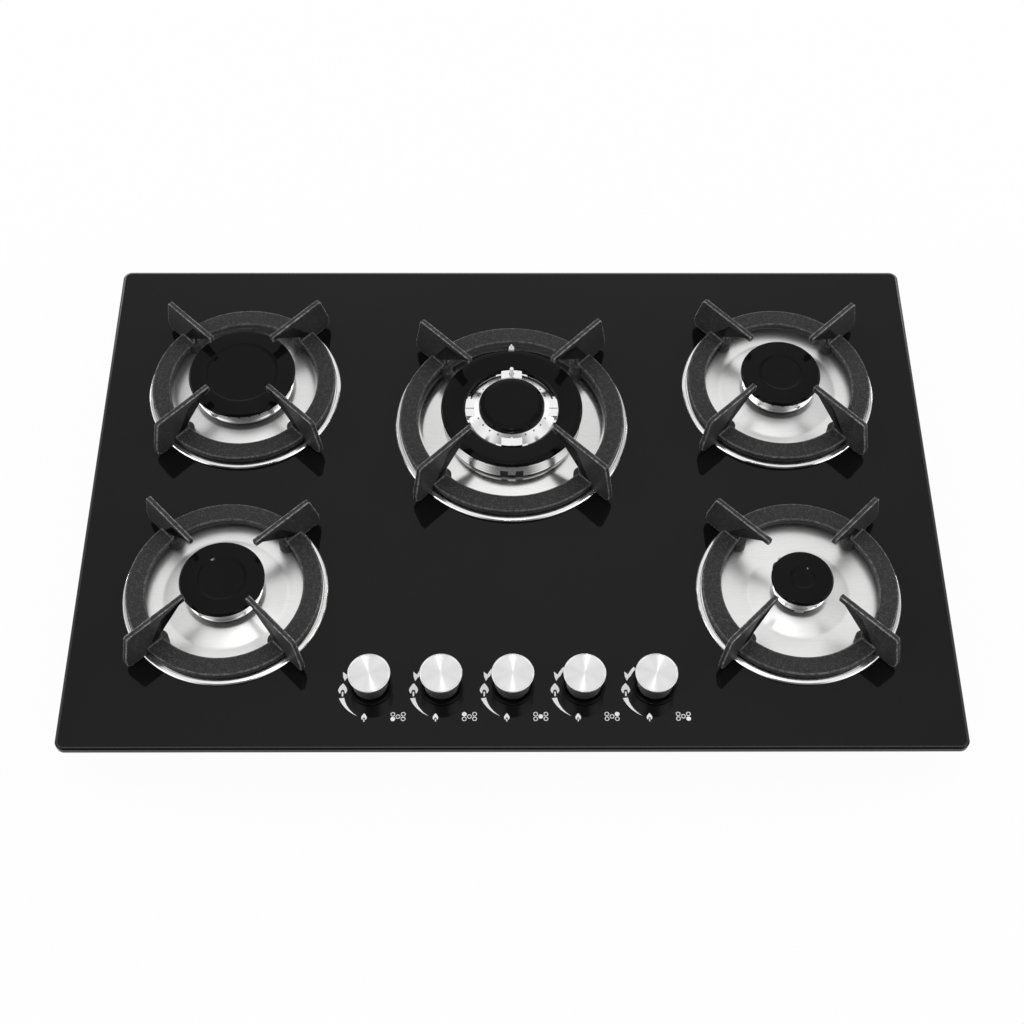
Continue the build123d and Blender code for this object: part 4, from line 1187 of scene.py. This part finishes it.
PLAIN_FINISHES = {
    "black_glass": ["glass_panel"],
    "seal_foam": ["worktop_seal"],
    "zinc_sheet": ["bottom_box", "side_burner_rails", "wok_burner_rail"],
    "cast_aluminium": ["injector_holders", "gas_valves", "gas_tubes"],
    "brass": ["injectors", "inlet_elbow"] + [f"valve_plug_{name}" for name in NAMES],
    "bright_steel": ["gas_manifold", "thermocouples", "screws"]
    + [f"stem_{name}" for name in NAMES],
    "white_ceramic": ["electrodes", "terminal_block"],
    "moulded_black": ["spark_generator", "cord_gland"],
    "grey_sleeve": ["burner_leads"],
}


# The painted edge highlight's outer and inner edge in from the glass's, and the glass's corner
# radius
BORDER = (1.3, 2.5)
CORNER_R = 8.0


def border_shell():
    """Narrow flat frame along the glass's edge, between two rounded rectangles."""
    low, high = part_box("glass_panel")
    wide, deep = (high.x - low.x) / 2 / MM, (high.y - low.y) / 2 / MM
    rows = []
    for inset in BORDER:
        x, y, r = wide - inset, deep - inset, CORNER_R - inset
        corners = rounded([(-x, -y, r), (x, -y, r), (x, y, r), (-x, y, r)], steps=8)
        rows.append(np.column_stack([corners, np.full(len(corners), sizes().print_lift / MM / 2)]))
    return np.concatenate(rows), grid_faces(2, len(rows[0]))


class CooktopInner(bpy.types.Operator):
    """Finishes of the glass, the box and all that it holds."""

    bl_idname = "cooktop.inner"
    bl_label = "Glass, box and inner parts"

    def execute(self, context):
        for material, nodes in PLAIN_FINISHES.items():
            for node in nodes:
                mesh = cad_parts[node].data
                mesh.materials.clear()
                mesh.materials.append(finish(material))
        # Flat frame over the glass's edge with a painted highlight of its bevel
        make_piece("glass_edge_highlight", border_shell(), (0, 0), ["painted_edge_highlight"], "base")
        return {"FINISHED"}


def area_light(name, place, size, power):
    """Soft rectangular lamp at a place, facing the middle of the glass."""
    lamp = bpy.data.lights.new(name, "AREA")
    lamp.shape = "RECTANGLE"
    lamp.size, lamp.size_y = size
    lamp.energy = power
    light = bpy.data.objects.new(name, lamp)
    bpy.context.scene.collection.objects.link(light)
    light.location = place
    light.rotation_euler = (-Vector(place)).to_track_quat("-Z", "Y").to_euler()


# Places and sizes in metres, powers in watts
EDGE_X, EDGE_Y, EDGE_Z, EDGE_SIZE, EDGE_POWER = 1.7, 1.05, 0.62, (0.3, 0.3), 2.5
OVERHEAD, OVERHEAD_SIZE, OVERHEAD_POWER = (0, -0.2, 2.45), (0.22, 0.12), 3.5

# Brightness of the world all round, and what the dark and bright fields take off or add
ROUND, REAR_DARK, FRONT_DARK, SIDE_BRIGHT = 1.04, 0.55, 0.88, 1.3

# Half the floor's width, and the share of its own light that the camera and reflections see
FLOOR_HALF, FLOOR_GLOW = 9, 0.95

# Fitted to the four corners of the photographed glass: millimetres, metres over it, degrees
CAMERA_LENS, CAMERA_SENSOR = 60.55, 36.0
CAMERA_PLACE = (-0.00883, -0.84387, 1.31256)
CAMERA_TURN = (32.00145, -0.26058, -0.20251)


class CooktopStage(bpy.types.Operator):
    """Floor, world, lamps and camera."""

    bl_idname = "cooktop.stage"
    bl_label = "Stage"

    def execute(self, context):
        scene = context.scene
        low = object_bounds()[0].z
        self.floor(low)
        self.world(scene)
        for name, x in (("rear_left", -EDGE_X), ("rear_right", EDGE_X)):
            area_light(f"edge_{name}", (x, EDGE_Y, EDGE_Z), EDGE_SIZE, EDGE_POWER)
        area_light("overhead", OVERHEAD, OVERHEAD_SIZE, OVERHEAD_POWER)
        self.camera(scene)
        scene.view_settings.view_transform = "Standard"
        return {"FINISHED"}

    def floor(self, height):
        """Pale plane that takes soft shadows and shows white to the camera and in reflections."""
        f = Finish("pale_floor")
        tone = f.shades(f.noise(f.place(), 3.0, 2.0), colours().floor, 0.99, 1.01)
        shade = f.node("ShaderNodeBsdfDiffuse", values={"Color": tone})
        glow = f.node("ShaderNodeEmission", values={"Color": (1, 1, 1, 1), "Strength": 1.0})
        path = f.node("ShaderNodeLightPath")
        seen = path.math("MAXIMUM", path, f.node("ShaderNodeLightPath", out=3))
        mixed = f.node("ShaderNodeMixShader", values={0: seen * FLOOR_GLOW, 1: shade, 2: glow})
        f.node("ShaderNodeOutputMaterial", values={"Surface": mixed})
        mesh = bpy.data.meshes.new("floor")
        square = ((-1, -1), (1, -1), (1, 1), (-1, 1))
        corners = [(x * FLOOR_HALF, y * FLOOR_HALF, height) for x, y in square]
        mesh.from_pydata(corners, [], [(0, 1, 2, 3)])
        mesh.materials.append(f.material)
        floor = bpy.data.objects.new("floor", mesh)
        bpy.context.scene.collection.objects.link(floor)
        floor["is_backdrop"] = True

    def world(self, scene):
        """Soft studio: pale, but dimmer high behind, dark in front and bright low at the sides."""
        world = bpy.data.worlds.new("studio")
        scene.world = world
        f = Nodes(world)
        way = f.node("ShaderNodeTexCoord")
        x, y, z = (f.part(way, axis) for axis in "XYZ")
        side = abs(x)
        behind = y.clear(-0.1, 0.3) * z.clear(0.2, 0.45) * side.clear(0.08, 0.55)
        front = (-y).clear(0.1, 0.45) * z.clear(0.03, 0.06) * (1 - side.clear(0.28, 0.52))
        flank = z.clear(0.05, 0.12) * (1 - z.clear(0.5, 0.7)) * side.clear(0.55, 0.8)
        level = ROUND - behind * REAR_DARK - front * FRONT_DARK + flank * SIDE_BRIGHT
        lit = f.node("ShaderNodeBackground", values={"Color": level, "Strength": 1.0})
        f.node("ShaderNodeOutputWorld", values={"Surface": lit})

    def camera(self, scene):
        """Camera with the photograph's own view."""
        view = bpy.data.cameras.new("camera")
        view.lens, view.sensor_width = CAMERA_LENS, CAMERA_SENSOR
        view.clip_start, view.clip_end = 0.05, 40.0
        camera = bpy.data.objects.new("camera", view)
        scene.collection.objects.link(camera)
        camera.location = Vector(CAMERA_PLACE) + Vector((0, 0, GLASS_TOP))
        camera.rotation_euler = [math.radians(turn) for turn in CAMERA_TURN]
        scene.camera = camera


OPERATORS = (
    CooktopInner,
    CooktopPans,
    CooktopBurners,
    CooktopCaps,
    CooktopSupports,
    CooktopKnobs,
    CooktopPrint,
    CooktopStage,
)


class CooktopPanel(bpy.types.Panel):
    """Sidebar panel with the cooktop's operators and settings."""

    bl_idname = "VIEW3D_PT_cooktop"
    bl_label = "Gas cooktop"
    bl_space_type = "VIEW_3D"
    bl_region_type = "UI"
    bl_category = "Cooktop"

    def draw(self, context):
        for operator in OPERATORS:
            self.layout.operator(operator.bl_idname)
        for group in (context.scene.cooktop_sizes, context.scene.cooktop_colours):
            for key in group.__annotations__:
                self.layout.prop(group, key)


CLASSES = (CooktopSizes, CooktopColours, *OPERATORS, CooktopPanel)


def register():
    for found in CLASSES:
        bpy.utils.register_class(found)
    bpy.types.Scene.cooktop_sizes = PointerProperty(type=CooktopSizes)
    bpy.types.Scene.cooktop_colours = PointerProperty(type=CooktopColours)


def unregister():
    del bpy.types.Scene.cooktop_colours
    del bpy.types.Scene.cooktop_sizes
    for found in reversed(CLASSES):
        bpy.utils.unregister_class(found)


def main():
    register()
    bpy.ops.cooktop.inner()
    bpy.ops.cooktop.pans()
    bpy.ops.cooktop.burners()
    bpy.ops.cooktop.caps()
    bpy.ops.cooktop.supports()
    bpy.ops.cooktop.knobs()
    bpy.ops.cooktop.marks()
    bpy.ops.cooktop.stage()


if __name__ == "__main__":
    main()
